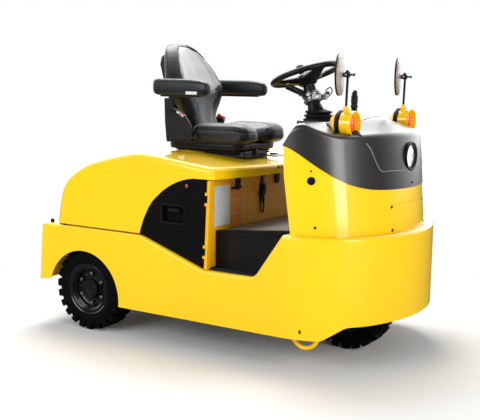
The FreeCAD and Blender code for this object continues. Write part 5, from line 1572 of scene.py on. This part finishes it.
# ---------------------------------------------------------------- steering and controls
@dataclass
class Steering:
    """The steering wheel with its web and knob, the column's clamp, its levers and the brake lever."""

    foot: Point = (400.0, 0.0, 978.0)
    lean: float = 19.0
    wheel_at: float = 208.0
    radius: float = 146.0
    grip: float = 13.4
    finger_waves: int = 24
    wave_depth: float = 0.9
    spinner_at: float = 124.0
    brake_at: tuple[float, float] = (641.0, -150.0)

    def along(self, distance: float) -> Vector:
        """Returns a place on the column's axis."""
        return Vector(self.foot) + self.axis() * distance

    def axis(self) -> Vector:
        """Returns the column's direction, upwards and rearwards."""
        lean = math.radians(self.lean)
        return Vector((-math.sin(lean), 0, math.cos(lean)))

    def out(self, degrees: float) -> Vector:
        """Returns a direction in the wheel's plane, from straight ahead towards the left."""
        angle, lean = math.radians(degrees), math.radians(self.lean)
        ahead = Vector((math.cos(lean), 0, math.sin(lean)))
        return ahead * math.cos(angle) + Vector((0, 1, 0)) * math.sin(angle)

    def wheel(self) -> list[bpy.types.Object]:
        """Builds the wheel: a grip with finger waves, three moulded spokes, a hub cap and a knob."""
        body = "steering_wheel"
        centre = self.along(self.wheel_at)
        axis = self.axis()
        rows = []
        steps = 144
        for index in range(steps + 1):
            degrees = 360 * index / steps
            out = self.out(degrees)
            wave = self.wave_depth * math.cos(math.radians(degrees * self.finger_waves))
            rows.append([centre
                + out * (self.radius + math.cos(a) * (self.grip + (wave if math.cos(a) < 0 else 0)))
                + axis * (math.sin(a) * (self.grip - 0.6)) for a in turns(16)])
        rim = Shape().grid(rows, close_rows=True, caps=False)
        web = Shape()
        for degrees in (90, 210, 330):
            out = self.out(degrees)
            across = axis.cross(out)
            rows = []
            for reach, wide, thick, drop in ((14, 42, 19, -20), (40, 41, 18, -19), (66, 36, 15, -15),
                    (92, 29, 12, -9), (118, 27, 10, -3), (136, 32, 9, 0)):
                middle = centre + out * reach + axis * drop
                rows.append([middle + across * (wide * squared(a, 0.7, 1)[0]) + axis * (thick * math.sin(a))
                    for a in turns(20)])
            web.grid(rows, close_rows=True)
        hub = Shape().lathe([(ON_AXIS, 6), (16, 5.4), (32, 3), (42, -1), (48, -8), (50, -16), (47, -30),
            (40, -42), (34, -47), (ON_AXIS, -47)], centre, axis, 40)
        base = centre + self.out(self.spinner_at) * self.radius
        knob = Shape().lathe([(ON_AXIS, 8), (9, 8), (9, 14), (7, 17), (7, 32), (14, 38), (20, 47), (21.5, 56),
            (19, 66), (12, 73), (5, 75.5), (ON_AXIS, 76)], base, axis, 32)
        clip = Shape().lathe([(17, -13), (18.4, -8), (18.4, 8), (15, 11.5), (ON_AXIS, 11.5), (ON_AXIS, -13)],
            base, axis, 28)
        cap = Shape().lathe([(ON_AXIS, 8.4), (16, 7.8), (19, 6.2), (19, 4.6), (ON_AXIS, 4.6)], centre, axis, 32)
        made = [rim.piece("steering_grip", BLACK_MOULDING, body),
            web.piece("steering_web", BLACK_MOULDING, body),
            hub.piece("steering_hub", BLACK_MOULDING, body, sharp=50),
            cap.piece("steering_hub_cap", SEAT_SHELL_PP, body, sharp=50),
            knob.piece("spinner_knob", BLACK_MOULDING, body),
            clip.piece("spinner_clamp", BLACK_POWDER_COAT, body)]
        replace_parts(made[0], "steering_wheel")
        return made

    def column(self) -> list[bpy.types.Object]:
        """Builds the column's die-cast clamp with its bolts, its shroud and its cable loop."""
        body = "chassis"
        axis = self.axis()
        at = self.along(0)
        clamp = Shape().lathe([(36.4, 84), (40, 86), (41, 94), (38, 98), (38, 106), (42, 110), (42, 120),
            (38, 126), (30, 129), (28, 130), (28, 128.4), (36.4, 128.4)], at, axis, 40, ring=True)
        ears = Shape()
        root, upper = self.along(104), self.along(112)
        for side in (-1, 1):
            ears.block((root.x + 18, side * 30 - 9, 1068), (root.x + 56, side * 30 + 9, 1092))
            ears.block((upper.x - 46, side * 28 - 8, 1080), (upper.x - 20, side * 28 + 8, 1104))
        shroud = Shape().lathe([(22.4, 44), (33, 44), (35, 48), (33, 58), (29, 70), (28, 83), (22.4, 83)], at,
            axis, 32, ring=True)
        bolts = Repeat("column_clamp_bolts", body, ZINC_FASTENER, play_deg=50)
        for side in (-1, 1):
            bolts.at((root.x + 46, side * 39.2, 1080), (0, side, 0))
            bolts.at((upper.x - 33, side * 36.2, 1092), (0, side, 0))
        loop = smooth_path([root + Vector(v) for v in ((20, 34, -12), (44, 58, 2), (58, 74, 26), (46, 82, 44),
            (30, 74, 34), (34, 58, 10), (30, 38, -8))], 8)
        wire = Shape().tube(loop, 2.6, 8)
        grip_way = Vector((-70, -86, 44))
        lever = Shape().tube(smooth_path([root + grip_way * t for t in (0.44, 0.6, 0.8, 0.96, 1.02)], 4), 13.5,
            14)
        lever.ball(root + grip_way * 1.02, 13.6, 16)
        lever.ball(root + grip_way * 0.44, 13.6, 16)
        boot = Shape().lathe([(23, 0.3), (66, 0.3), (67, 3), (66, 7), (57, 9.4), (55.6, 12), (57, 14.6),
            (63, 17), (64, 20), (63, 23.6), (54, 26), (51, 28.6), (52.6, 31), (58, 33.6), (59, 37), (58, 41),
            (50, 43.6), (34, 46), (30, 50), (23, 50)], self.foot, (0, 0, 1), 56, ring=True)
        made = [clamp.piece("column_clamp", DIE_CAST_ALUMINIUM, body, bevel=0.8, sharp=30),
            ears.piece("column_clamp_ears", DIE_CAST_ALUMINIUM, body, bevel=3, rounds=3),
            shroud.piece("column_shroud", BLACK_MOULDING, body), bolts.build(hexagon_bolt(10, 5, washer=8)),
            wire.piece("column_wire_loop", BLACK_OXIDE, body),
            lever.piece("direction_lever_grip", BLACK_MOULDING, body),
            boot.piece("column_ribbed_boot", MOULDED_RUBBER, body)]
        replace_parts(made[-1], "column_boot")
        return made

    def brake_lever(self) -> list[bpy.types.Object]:
        """Builds the brake lever's grip with finger waves, its button and its gaiter."""
        profile = [(ON_AXIS, -2), (8, -1), (11, 2)]
        for index in range(5):
            foot = 4 + index * 19
            profile += [(13.4, foot + 3), (14.4, foot + 8), (13.2, foot + 13), (10.6, foot + 17)]
        profile += [(11.5, 103), (9.5, 108), (4, 110), (ON_AXIS, 110)]
        x, y = self.brake_at
        top = nearest_on(cad_surface("parking_brake_lever"), (x, y, 1104))[0].z / MM
        grip = Shape().lathe(profile, (x, y, top - 108), (0, 0, 1), 28)
        gaiter = Shape()
        seat, _ = top_hit(cad_surface("dash_cowl"), x, y)
        gaiter.lathe([(12, 26), (14, 25), (16, 20), (15, 17), (19, 13), (18, 10), (23, 6), (24, 1), (30, 0),
            (30, -2), (10, -2), (10, 26)], (x, y, seat.z + 1.5), (0, 0, 1), 32, ring=True)
        button = Shape().lathe([(ON_AXIS, 0), (6, 0), (6, 5), (4.6, 6.6), (ON_AXIS, 7)], (x, y, top + 0.6),
            (0, 0, 1), 20)
        return [grip.piece("brake_lever_grip", BLACK_MOULDING, "chassis"),
            gaiter.piece("brake_lever_gaiter", MOULDED_RUBBER, "chassis"),
            button.piece("brake_lever_button", BLACK_POWDER_COAT, "chassis")]

    def build(self) -> list[bpy.types.Object]:
        """Builds the controls."""
        return [*self.wheel(), *self.column(), *self.brake_lever()]


# ---------------------------------------------------------------- battery box, foot well and side doors
@dataclass
class BatteryBox:
    """The battery box's front: its blank plate and decal, rubber tongues, latch and screws."""

    body: str = "chassis"
    face_x: float = 139.0

    def card(self, name: str, finish: Finish, y0: float, y1: float, z0: float, z1: float,
            lift: float = 0.4) -> bpy.types.Object:
        """Builds a thin printed card on the box's face."""
        shape = Shape().block((self.face_x + lift, y0, z0), (self.face_x + lift + 0.7, y1, z1))
        return shape.piece(name, finish, self.body)

    def tongue(self, name: str, y: float) -> bpy.types.Object:
        """Builds one rubber tongue with a round foot under the hood's lip."""
        outline = [(self.face_x + 0.3, y - 15, 735), (self.face_x + 0.3, y + 15, 735)]
        outline += [(self.face_x + 0.3, y + 15 * math.cos(a),
            694 - 15 * math.sin(a)) for a in (math.pi * k / 14 for k in range(15))]
        return Shape().slab(outline, (11.2, 0, 0)).piece(name, MOULDED_RUBBER, self.body, bevel=1.6)

    def latch(self) -> list[bpy.types.Object]:
        """Builds the draw latch: anchor plate, rubber body, bright hook and pull loop."""
        y = -38.0
        x = self.face_x
        plate = Shape().block((x + 0.3, y - 20, 626), (x + 3, y + 20, 690))
        body = Shape().slab([(x + 14.2, y - 12, 640), (x + 14.2, y + 12, 640), (x + 14.2, y + 16, 664),
            (x + 14.2, y + 9, 690), (x + 14.2, y - 9, 690), (x + 14.2, y - 16, 664)], (4.6, 0, 0))
        hook = Shape().tube(smooth_path([(x + 11, y, 688), (x + 13, y, 704), (x + 12, y, 722), (x + 16, y, 733),
            (x + 21, y, 728), (x + 20, y, 716)], 6), 4.0, 10, flat=0.7)
        loop = Shape().tube(smooth_path([(x + 9, y - 5, 640), (x + 8, y - 14, 606), (x + 7, y - 12, 572),
            (x + 7, y, 557), (x + 7, y + 11, 572), (x + 8, y + 10, 606), (x + 9, y + 5, 640)], 8), 3.2, 10)
        tab = Shape().block((x + 0.4, y - 44, 660), (x + 4.4, y - 26, 700))
        pins = Repeat("latch_rivets", self.body, ZINC_FASTENER)
        for dy, z in ((-14, 632), (14, 632), (-14, 684), (14, 684)):
            pins.at((x + 3, y + dy, z), (1, 0, 0))
        return [plate.piece("latch_plate", BLACK_POWDER_COAT, self.body, bevel=0.8),
            body.piece("latch_rubber", MOULDED_RUBBER, self.body, bevel=2),
            hook.piece("latch_hook", TURNED_STEEL, self.body),
            loop.piece("latch_pull_loop", BLACK_OXIDE, self.body),
            tab.piece("latch_side_tab", YELLOW_ENAMEL, self.body, bevel=0.8),
            pins.build(button_screw(3.2, 1.8))]

    def build(self) -> list[bpy.types.Object]:
        """Builds the box's details."""
        made = [self.card("battery_box_blank_plate", BLANK_PLATE, -414, -295, 536, 706),
            self.card("battery_box_decal", AMBER_DECAL, -284, -206, 522, 680),
            self.card("battery_box_decal_bar", BLACK_MOULDING, -288, -200, 682, 692),
            self.card("battery_box_decal_lines", BLANK_PLATE, -274, -216, 634, 638, 1.2),
            self.card("battery_box_decal_lines_low", BLANK_PLATE, -274, -216, 574, 578, 1.2),
            self.tongue("lid_rest_right", -241), self.tongue("lid_rest_left", 91), *self.latch()]
        lip = Repeat("hood_lip_screws", "hood", BLACK_OXIDE)
        lip_tree = cad_surface("hood_shell")
        for y in (-52, -24):
            lip.at(*front_hit(lip_tree, y, 770))
        made.append(lip.build(button_screw(6.5, 3.0)))
        return made


@dataclass
class FootWell:
    """The floor's edge trim, the patterned step treads and the pedals' ribs."""

    body: str = "chassis"
    floor_rear: tuple[float, float] = (139.0, 515.0)
    floor_slope: float = 0.094
    trim_y: float = 401.6
    tread_z: float = 365.2

    def floor_z(self, x: float) -> float:
        """Returns the floor's height at an X."""
        start, height = self.floor_rear
        return height + self.floor_slope * (x - start)

    def build(self) -> list[bpy.types.Object]:
        """Builds the foot well's details."""
        trim = Shape()
        for side in (-1, 1):
            rows = []
            for x in (141, 498):
                z = self.floor_z(x)
                rows.append([(x, side * self.trim_y, z - 30), (x, side * self.trim_y, z + 4.4),
                    (x, side * 376, z + 4.4), (x, side * 376, z + 0.6), (x, side * 400.3, z + 0.6),
                    (x, side * 400.3, z - 30)])
            trim.grid(rows, close_rows=True)
        treads = Repeat("step_tread_bars", self.body, MOULDED_RUBBER)
        for side in (-1, 1):
            for row, y in enumerate(range(412, 476, 10)):
                for column in range(26):
                    x = 156 + column * 10 + (5 if row % 2 else 0)
                    if x < 412:
                        treads.at((x, side * y, self.tread_z - 0.1), (0, 0, 1),
                            45 if (row + column) % 2 else -45)
        plates = Shape()
        for side in (-1, 1):
            plates.block((151, side * 407, self.tread_z - 1), (415, side * 476, self.tread_z))
        screws = Repeat("foot_well_screws", self.body, BLACK_OXIDE)
        for side in (-1, 1):
            for x in (170, 300, 440):
                screws.at((x, side * 402, self.floor_z(x) - 14), (0, side, 0))
        bar = Shape().grid([[(-4.6, -1.2, -0.2), (4.6, -1.2, -0.2), (4.6, 1.2, -0.2), (-4.6, 1.2, -0.2)],
            [(-3.6, -0.5, 1.3), (3.6, -0.5, 1.3), (3.6, 0.5, 1.3), (-3.6, 0.5, 1.3)]], close_rows=True)
        ribs = Shape()
        for y in (-70, 60):
            tree = cad_surface("pedals")
            for step in range(5):
                place, normal = top_hit(tree, 612 + step * 7, y)
                line = [place + normal * 0.8 + Vector((0, w, 0)) for w in (-27, 27)]
                ribs.tube(line, 1.6, 8)
        return [trim.piece("floor_edge_trim", MOULDED_RUBBER, self.body, bevel=0.8),
            treads.build(bar, sharp=20), plates.piece("step_tread_plates", STEP_TREAD, self.body),
            screws.build(button_screw(5.5, 2.6)), ribs.piece("pedal_ribs", MOULDED_RUBBER, self.body)]


@dataclass
class SideDoors:
    """The two arched doors' grip frames, markers and rim beads."""

    plate_y: float = 485.0
    marker_x: float = 50.0
    marker_z: float = 708.0

    def build(self) -> list[bpy.types.Object]:
        """Builds the doors' details."""
        made = []
        for side, word in SIDES:
            body = "side_door_" + word
            y = side * (self.plate_y + 0.4)
            marker_at = (self.marker_x, y, self.marker_z)
            frame = Shape()
            loop = []
            for cx, cz, start in ((26, 609, 0), (-70, 609, 90), (-70, 557, 180), (26, 557, 270)):
                for k in range(7):
                    angle = math.radians(start + 15 * k)
                    loop.append((cx + 13 * math.cos(angle), y, cz + 13 * math.sin(angle)))
            frame.tube(loop, 2.4, 8, closed=True)
            marker = Shape().lathe([(ON_AXIS, 3.6), (5, 3.2), (7.6, 1.8), (8, 0), (ON_AXIS, 0)], marker_at,
                (0, side, 0), 28)
            ring = Shape().lathe([(8.2, 0), (8.2, 3), (10.2, 3), (11, 0)], marker_at, (0, side, 0), 28, True)
            edge = smooth_path([(-199, y, 482), (-180, y, 540), (-142, y, 612), (-103, y, 653), (-50, y, 692),
                (10, y, 722), (77, y, 737)], 6)
            edge += [Vector((112, y, 738)), Vector((150, y, 738))]
            bead = Shape().tube([(p[0], y, p[2]) for p in edge], 1.8, 8)
            lever = Shape().block((-52, y - side * 2, 592), (8, y - side * 10, 606))
            made += [frame.piece("door_grip_frame_" + word, BLACK_POWDER_COAT, body),
                marker.piece("door_marker_" + word, ORANGE_MARKER, body),
                ring.piece("door_marker_ring_" + word, BLACK_MOULDING, body),
                bead.piece("door_edge_bead_" + word, MOULDED_RUBBER, body),
                lever.piece("door_grip_bar_" + word, BLACK_MOULDING, body, bevel=3, rounds=3)]
        return made


# ---------------------------------------------------------------- skirt, tail and underside
@dataclass
class Tail:
    """The tow plate's bolts, the coupling's handle and chain, and the rear lamps' bezels and domes."""

    body: str = "chassis"
    lamp_y: float = 400.0
    lamp_z: float = 405.0

    def build(self) -> list[bpy.types.Object]:
        """Builds the tail's details."""
        plate = cad_surface("rear_tow_plate")
        bolts = Repeat("tow_plate_bolts", self.body, ZINC_FASTENER, play_deg=60)
        for y in (-180, -95, 95, 180):
            for z in (244, 412):
                found = hit(plate, (-1500, y, z), (1, 0, 0))
                if found:
                    bolts.at(*found)
        bezels, lamp_glass = Shape(), Shape()
        lamps = cad_surface("rear_lamps")
        for side in (-1, 1):
            y, z = side * self.lamp_y, self.lamp_z
            centre = (hit(lamps, (-1500, y, z), (1, 0, 0))[0].x, y, z)
            bezels.lathe([(27, 0.2), (28, 4), (31, 5), (34.4, 2), (35, -6), (34.2, -6), (33.6, 0.2)], centre,
                (-1, 0, 0), 48, ring=True)
            lamp_glass.lathe([(ON_AXIS, 7), (10, 6.4), (20, 4.6), (26.6, 1.6), (27, 0.2), (ON_AXIS, 0.2)],
                centre, (-1, 0, 0), 48)
        handle = Shape().tube(smooth_path([(-861, 0, 404), (-861, 0, 424), (-861, 20, 440), (-861, 0, 456),
            (-861, -20, 440), (-861, 0, 424)], 8), 4.2, 10)
        chain = Shape()
        links = smooth_path([(-858, 24, 432), (-842, 50, 404), (-824, 70, 392), (-806, 80, 404),
            (-795, 84, 424)], 4)
        for index, spot in enumerate(links[:-1]):
            way = (links[index + 1] - spot).normalized()
            flat = way.cross(Vector((0, 0, 1)) if index % 2 else Vector((0, 1, 0)).cross(way)).normalized()
            ring = [spot + way * (7.0 * math.cos(a)) + flat * (4.2 * math.sin(a)) for a in turns(12)]
            chain.tube(ring, 1.3, 6, closed=True)
        return [bolts.build(hexagon_bolt(19, 9, washer=15)),
            bezels.piece("rear_lamp_bezels", BLACK_MOULDING, self.body),
            lamp_glass.piece("rear_lamp_domes", TAIL_LENS, self.body),
            handle.piece("tow_pin_handle", TURNED_STEEL, self.body),
            chain.piece("tow_pin_chain", ZINC_FASTENER, self.body)]


@dataclass
class Skirt:
    """The lower body's slots and its deck stops' screws."""

    body: str = "chassis"

    def build(self) -> list[bpy.types.Object]:
        """Builds the skirt's details."""
        tree = cad_surface("lower_body_shell")
        slots = Shape()
        for side in (-1, 1):
            place, normal = side_hit(tree, 601, 176, side)
            along = normal.cross(Vector((0, 0, 1))).normalized()
            outline = [place + normal * 0.2 + along * (4.5 * math.cos(a)) + Vector((0, 0, 9 * math.sin(a)))
                for a in turns(16)]
            slots.slab(outline, normal * 0.6)
        screws = Repeat("deck_stop_screws", self.body, BLACK_OXIDE)
        stops = cad_surface("rubber_stops")
        for side in (-1, 1):
            screws.at(*top_hit(stops, -743, side * 458))
        return [slots.piece("skirt_slots", BLACK_MOULDING, self.body), screws.build(button_screw(5, 2.6))]


@dataclass
class Underside:
    """The bolts and plugs under the chassis, and the steering fork's cap nuts."""

    def build(self) -> list[bpy.types.Object]:
        """Builds the underside's details."""
        frame_tree = cad_surface("chassis_frame")
        bolts = Repeat("chassis_plate_bolts", "chassis", ZINC_FASTENER, play_deg=60)
        for x in range(-240, 361, 120):
            for y in (-400, -200, 0, 200, 400):
                found = hit(frame_tree, (x, y, -200), (0, 0, 1))
                if found and found[1].z < -FLAT:
                    bolts.at(*found)
        axle_tree = cad_surface("rear_axle_housing")
        case = Repeat("axle_case_bolts", "chassis", ZINC_FASTENER)
        for side in (-1, 1):
            for angle in turns(10):
                start = (-518 + 80 * math.cos(angle), side * 300, 190 + 80 * math.sin(angle))
                found = hit(axle_tree, start, (0, -side, 0))
                if found and abs(found[1].y) > FLAT:
                    case.at(*found)
        plug = Shape()
        plug.lathe([(ON_AXIS, 9), (8, 9), (9, 7.6), (9, 2), (14, 1.6), (14, 0), (ON_AXIS, 0)],
            *hit(axle_tree, (-518, 30, -200), (0, 0, 1)), 6)
        caps = Shape()
        axle = cad_surface("front_axle")
        for side in (-1, 1):
            caps.lathe([(ON_AXIS, 9), (12, 9), (16, 7), (17, 0), (ON_AXIS, 0)],
                *hit(axle, (582, side * 400, 190), (0, -side, 0)), 6)
        made = [bolts.build(hexagon_bolt(13, 6, washer=11)),
            plug.piece("axle_drain_plug", ZINC_FASTENER, "chassis"),
            caps.piece("front_axle_nuts", ZINC_FASTENER, "front_fork")]
        if case.spots:
            made.append(case.build(hexagon_bolt(13, 7)))
        return made


ASSEMBLIES += [Steering(), BatteryBox(), FootWell(), SideDoors(), Tail(), Skirt(), Underside()]


# ---------------------------------------------------------------- studio
@dataclass
class Studio:
    """A pale floor, soft lamps and the camera, in metres and degrees."""

    camera_place: Point = (2.2428, -3.4898, 1.1300)
    azimuth: float = 32.7
    pitch: float = 7.96
    roll: float = 0.88
    lens_mm: float = 67.6
    floor_size: float = 60.0
    floor_colour: str = "#F3F3F2"
    backdrop_way: Point = (-0.54, 0.84, 0.1)

    def floor_finish(self) -> bpy.types.Material:
        """Builds a pale matt floor that turns into plain white away from the vehicle; in reflections it shows
        dark grey, a painted dark reflection.

        Returns:
            The floor's material.
        """
        material = bpy.data.materials.new("pale_matt_floor")
        material.use_nodes = True
        tree = material.node_tree
        shader = tree.nodes["Principled BSDF"]
        shader.inputs["Base Color"].default_value = linear(self.floor_colour)
        shader.inputs["Roughness"].default_value = 0.9
        shader.inputs["Specular IOR Level"].default_value = 0.1
        place = add(tree, "ShaderNodeTexCoord").outputs["Object"]
        grain = add(tree, "ShaderNodeTexNoise", {"Scale": 300.0, "Detail": 2.0}, {"Vector": place})
        bump = add(tree, "ShaderNodeBump", {"Distance": 0.0002, "Strength": 0.4},
            {"Height": grain.outputs["Fac"]})
        tree.links.new(bump.outputs["Normal"], shader.inputs["Normal"])
        reach = add(tree, "ShaderNodeVectorMath", {"operation": "LENGTH"}, {0: place})
        far = add(tree, "ShaderNodeMapRange",
            {"From Min": 0.95, "From Max": 1.75, "interpolation_type": "SMOOTHSTEP"},
            {"Value": reach.outputs["Value"]})
        path = add(tree, "ShaderNodeLightPath")
        seen = add(tree, "ShaderNodeMath", {"operation": "MULTIPLY"},
            {0: far.outputs["Result"], 1: path.outputs["Is Camera Ray"]})
        plain = add(tree, "ShaderNodeEmission", {"Strength": 1.0})
        mixed = add(tree, "ShaderNodeMixShader", None,
            {0: seen.outputs[0], 1: shader.outputs[0], 2: plain.outputs[0]})
        # Seen in reflections the floor is dark grey: a painted dark reflection.
        painted_dark_reflection = add(tree, "ShaderNodeBsdfDiffuse", {"Color": linear("#565656")})
        gloss = add(tree, "ShaderNodeMixShader", None,
            {0: path.outputs["Is Glossy Ray"], 1: mixed.outputs[0], 2: painted_dark_reflection.outputs[0]})
        tree.links.new(gloss.outputs[0], tree.nodes["Material Output"].inputs["Surface"])
        return material

    def lay_floor(self) -> None:
        """Lays the floor just under the tyres."""
        half = self.floor_size / 2
        corners = [(-half, -half, 0), (half, -half, 0), (half, half, 0), (-half, half, 0)]
        mesh = bpy.data.meshes.new("studio_floor")
        mesh.from_pydata(corners, [], [(0, 1, 2, 3)])
        floor = linked("studio_floor", mesh)
        mesh.materials.append(self.floor_finish())

    def hang_lamp(self, name: str, place: Point, target: Point, size: tuple[float, float],
            watts: float) -> None:
        """Hangs one soft box.

        Args:
            name: the lamp's name.
            place: where it hangs.
            target: where it points.
            size: its two sides.
            watts: its power.
        """
        data = bpy.data.lights.new(name, "AREA")
        data.shape = "RECTANGLE"
        data.size, data.size_y = size
        data.energy = watts
        lamp = linked(name, data)
        lamp.location = place
        way = Vector(target) - Vector(place)
        lamp.rotation_euler = way.to_track_quat("-Z", "Y").to_euler()

    def light(self) -> None:
        """Sets the soft boxes and the pale surroundings."""
        self.hang_lamp("top_box", (-1.0, 1.0, 3.7), (0.1, 0.0, 0.4), (2.4, 2.0), 135)
        self.hang_lamp("side_box", (-1.0, -4.4, 2.0), (0.0, 0.0, 0.5), (3.2, 1.8), 105)
        self.hang_lamp("front_box", (4.4, -1.7, 1.7), (0.5, 0.0, 0.6), (1.4, 2.4), 105)
        world = bpy.data.worlds.new("pale_surroundings")
        world.use_nodes = True
        bpy.context.scene.world = world
        tree = world.node_tree
        path = add(tree, "ShaderNodeLightPath")
        shown = add(tree, "ShaderNodeMath", {"operation": "MAXIMUM"},
            {0: path.outputs["Is Camera Ray"], 1: path.outputs["Is Transmission Ray"]})
        heading = add(tree, "ShaderNodeTexCoord").outputs["Generated"]
        ahead = add(tree, "ShaderNodeVectorMath", {"operation": "DOT_PRODUCT", 1: self.backdrop_way},
            {0: heading})
        sheen = add(tree, "ShaderNodeMapRange",
            {"From Min": -0.1, "From Max": 0.7, "To Min": 0.12, "To Max": 3.0},
            {"Value": ahead.outputs["Value"]})
        bounced = add(tree, "ShaderNodeMix", {"A": 0.34},
            {"Factor": path.outputs["Is Glossy Ray"], "B": sheen.outputs["Result"]})
        strength = add(tree, "ShaderNodeMix", {"B": 1.0}, {"Factor": shown.outputs[0], "A": bounced.outputs[0]})
        ground = tree.nodes["Background"]
        ground.inputs["Color"].default_value = linear("#FFFFFF")
        tree.links.new(strength.outputs[0], ground.inputs["Strength"])

    def set_camera(self) -> None:
        """Stands the camera at the right front corner, a little above the wheel's height."""
        around, down, lean = (math.radians(a) for a in (self.azimuth, self.pitch, self.roll))
        back = Vector((math.sin(around) * math.cos(down), -math.cos(around) * math.cos(down), math.sin(down)))
        right = Vector((math.cos(around), math.sin(around), 0))
        up = back.cross(right)
        leaning_right = right * math.cos(lean) + up * math.sin(lean)
        leaning_up = up * math.cos(lean) - right * math.sin(lean)
        data = bpy.data.cameras.new("camera")
        data.lens = self.lens_mm
        data.sensor_width = 36.0
        camera = linked("camera", data)
        turn = Matrix((leaning_right, leaning_up, back)).transposed().to_4x4()
        camera.matrix_world = Matrix.Translation(self.camera_place) @ turn
        bpy.context.scene.camera = camera

    def build(self) -> None:
        """Sets up the whole studio."""
        self.lay_floor()
        self.light()
        self.set_camera()
        bpy.context.scene.view_settings.view_transform = "Standard"


def main() -> None:
    """Builds the vehicle's looks in order and reports each piece."""
    logging.basicConfig(level=logging.INFO, format="%(name)s: %(message)s")
    Studio().build()
    dress_frame(NODES_BY_FINISH)
    for assembly in ASSEMBLIES:
        for piece in assembly.build():
            log.info("%s: %s", type(assembly).__name__, piece.name)


if __name__ == "__main__":
    main()
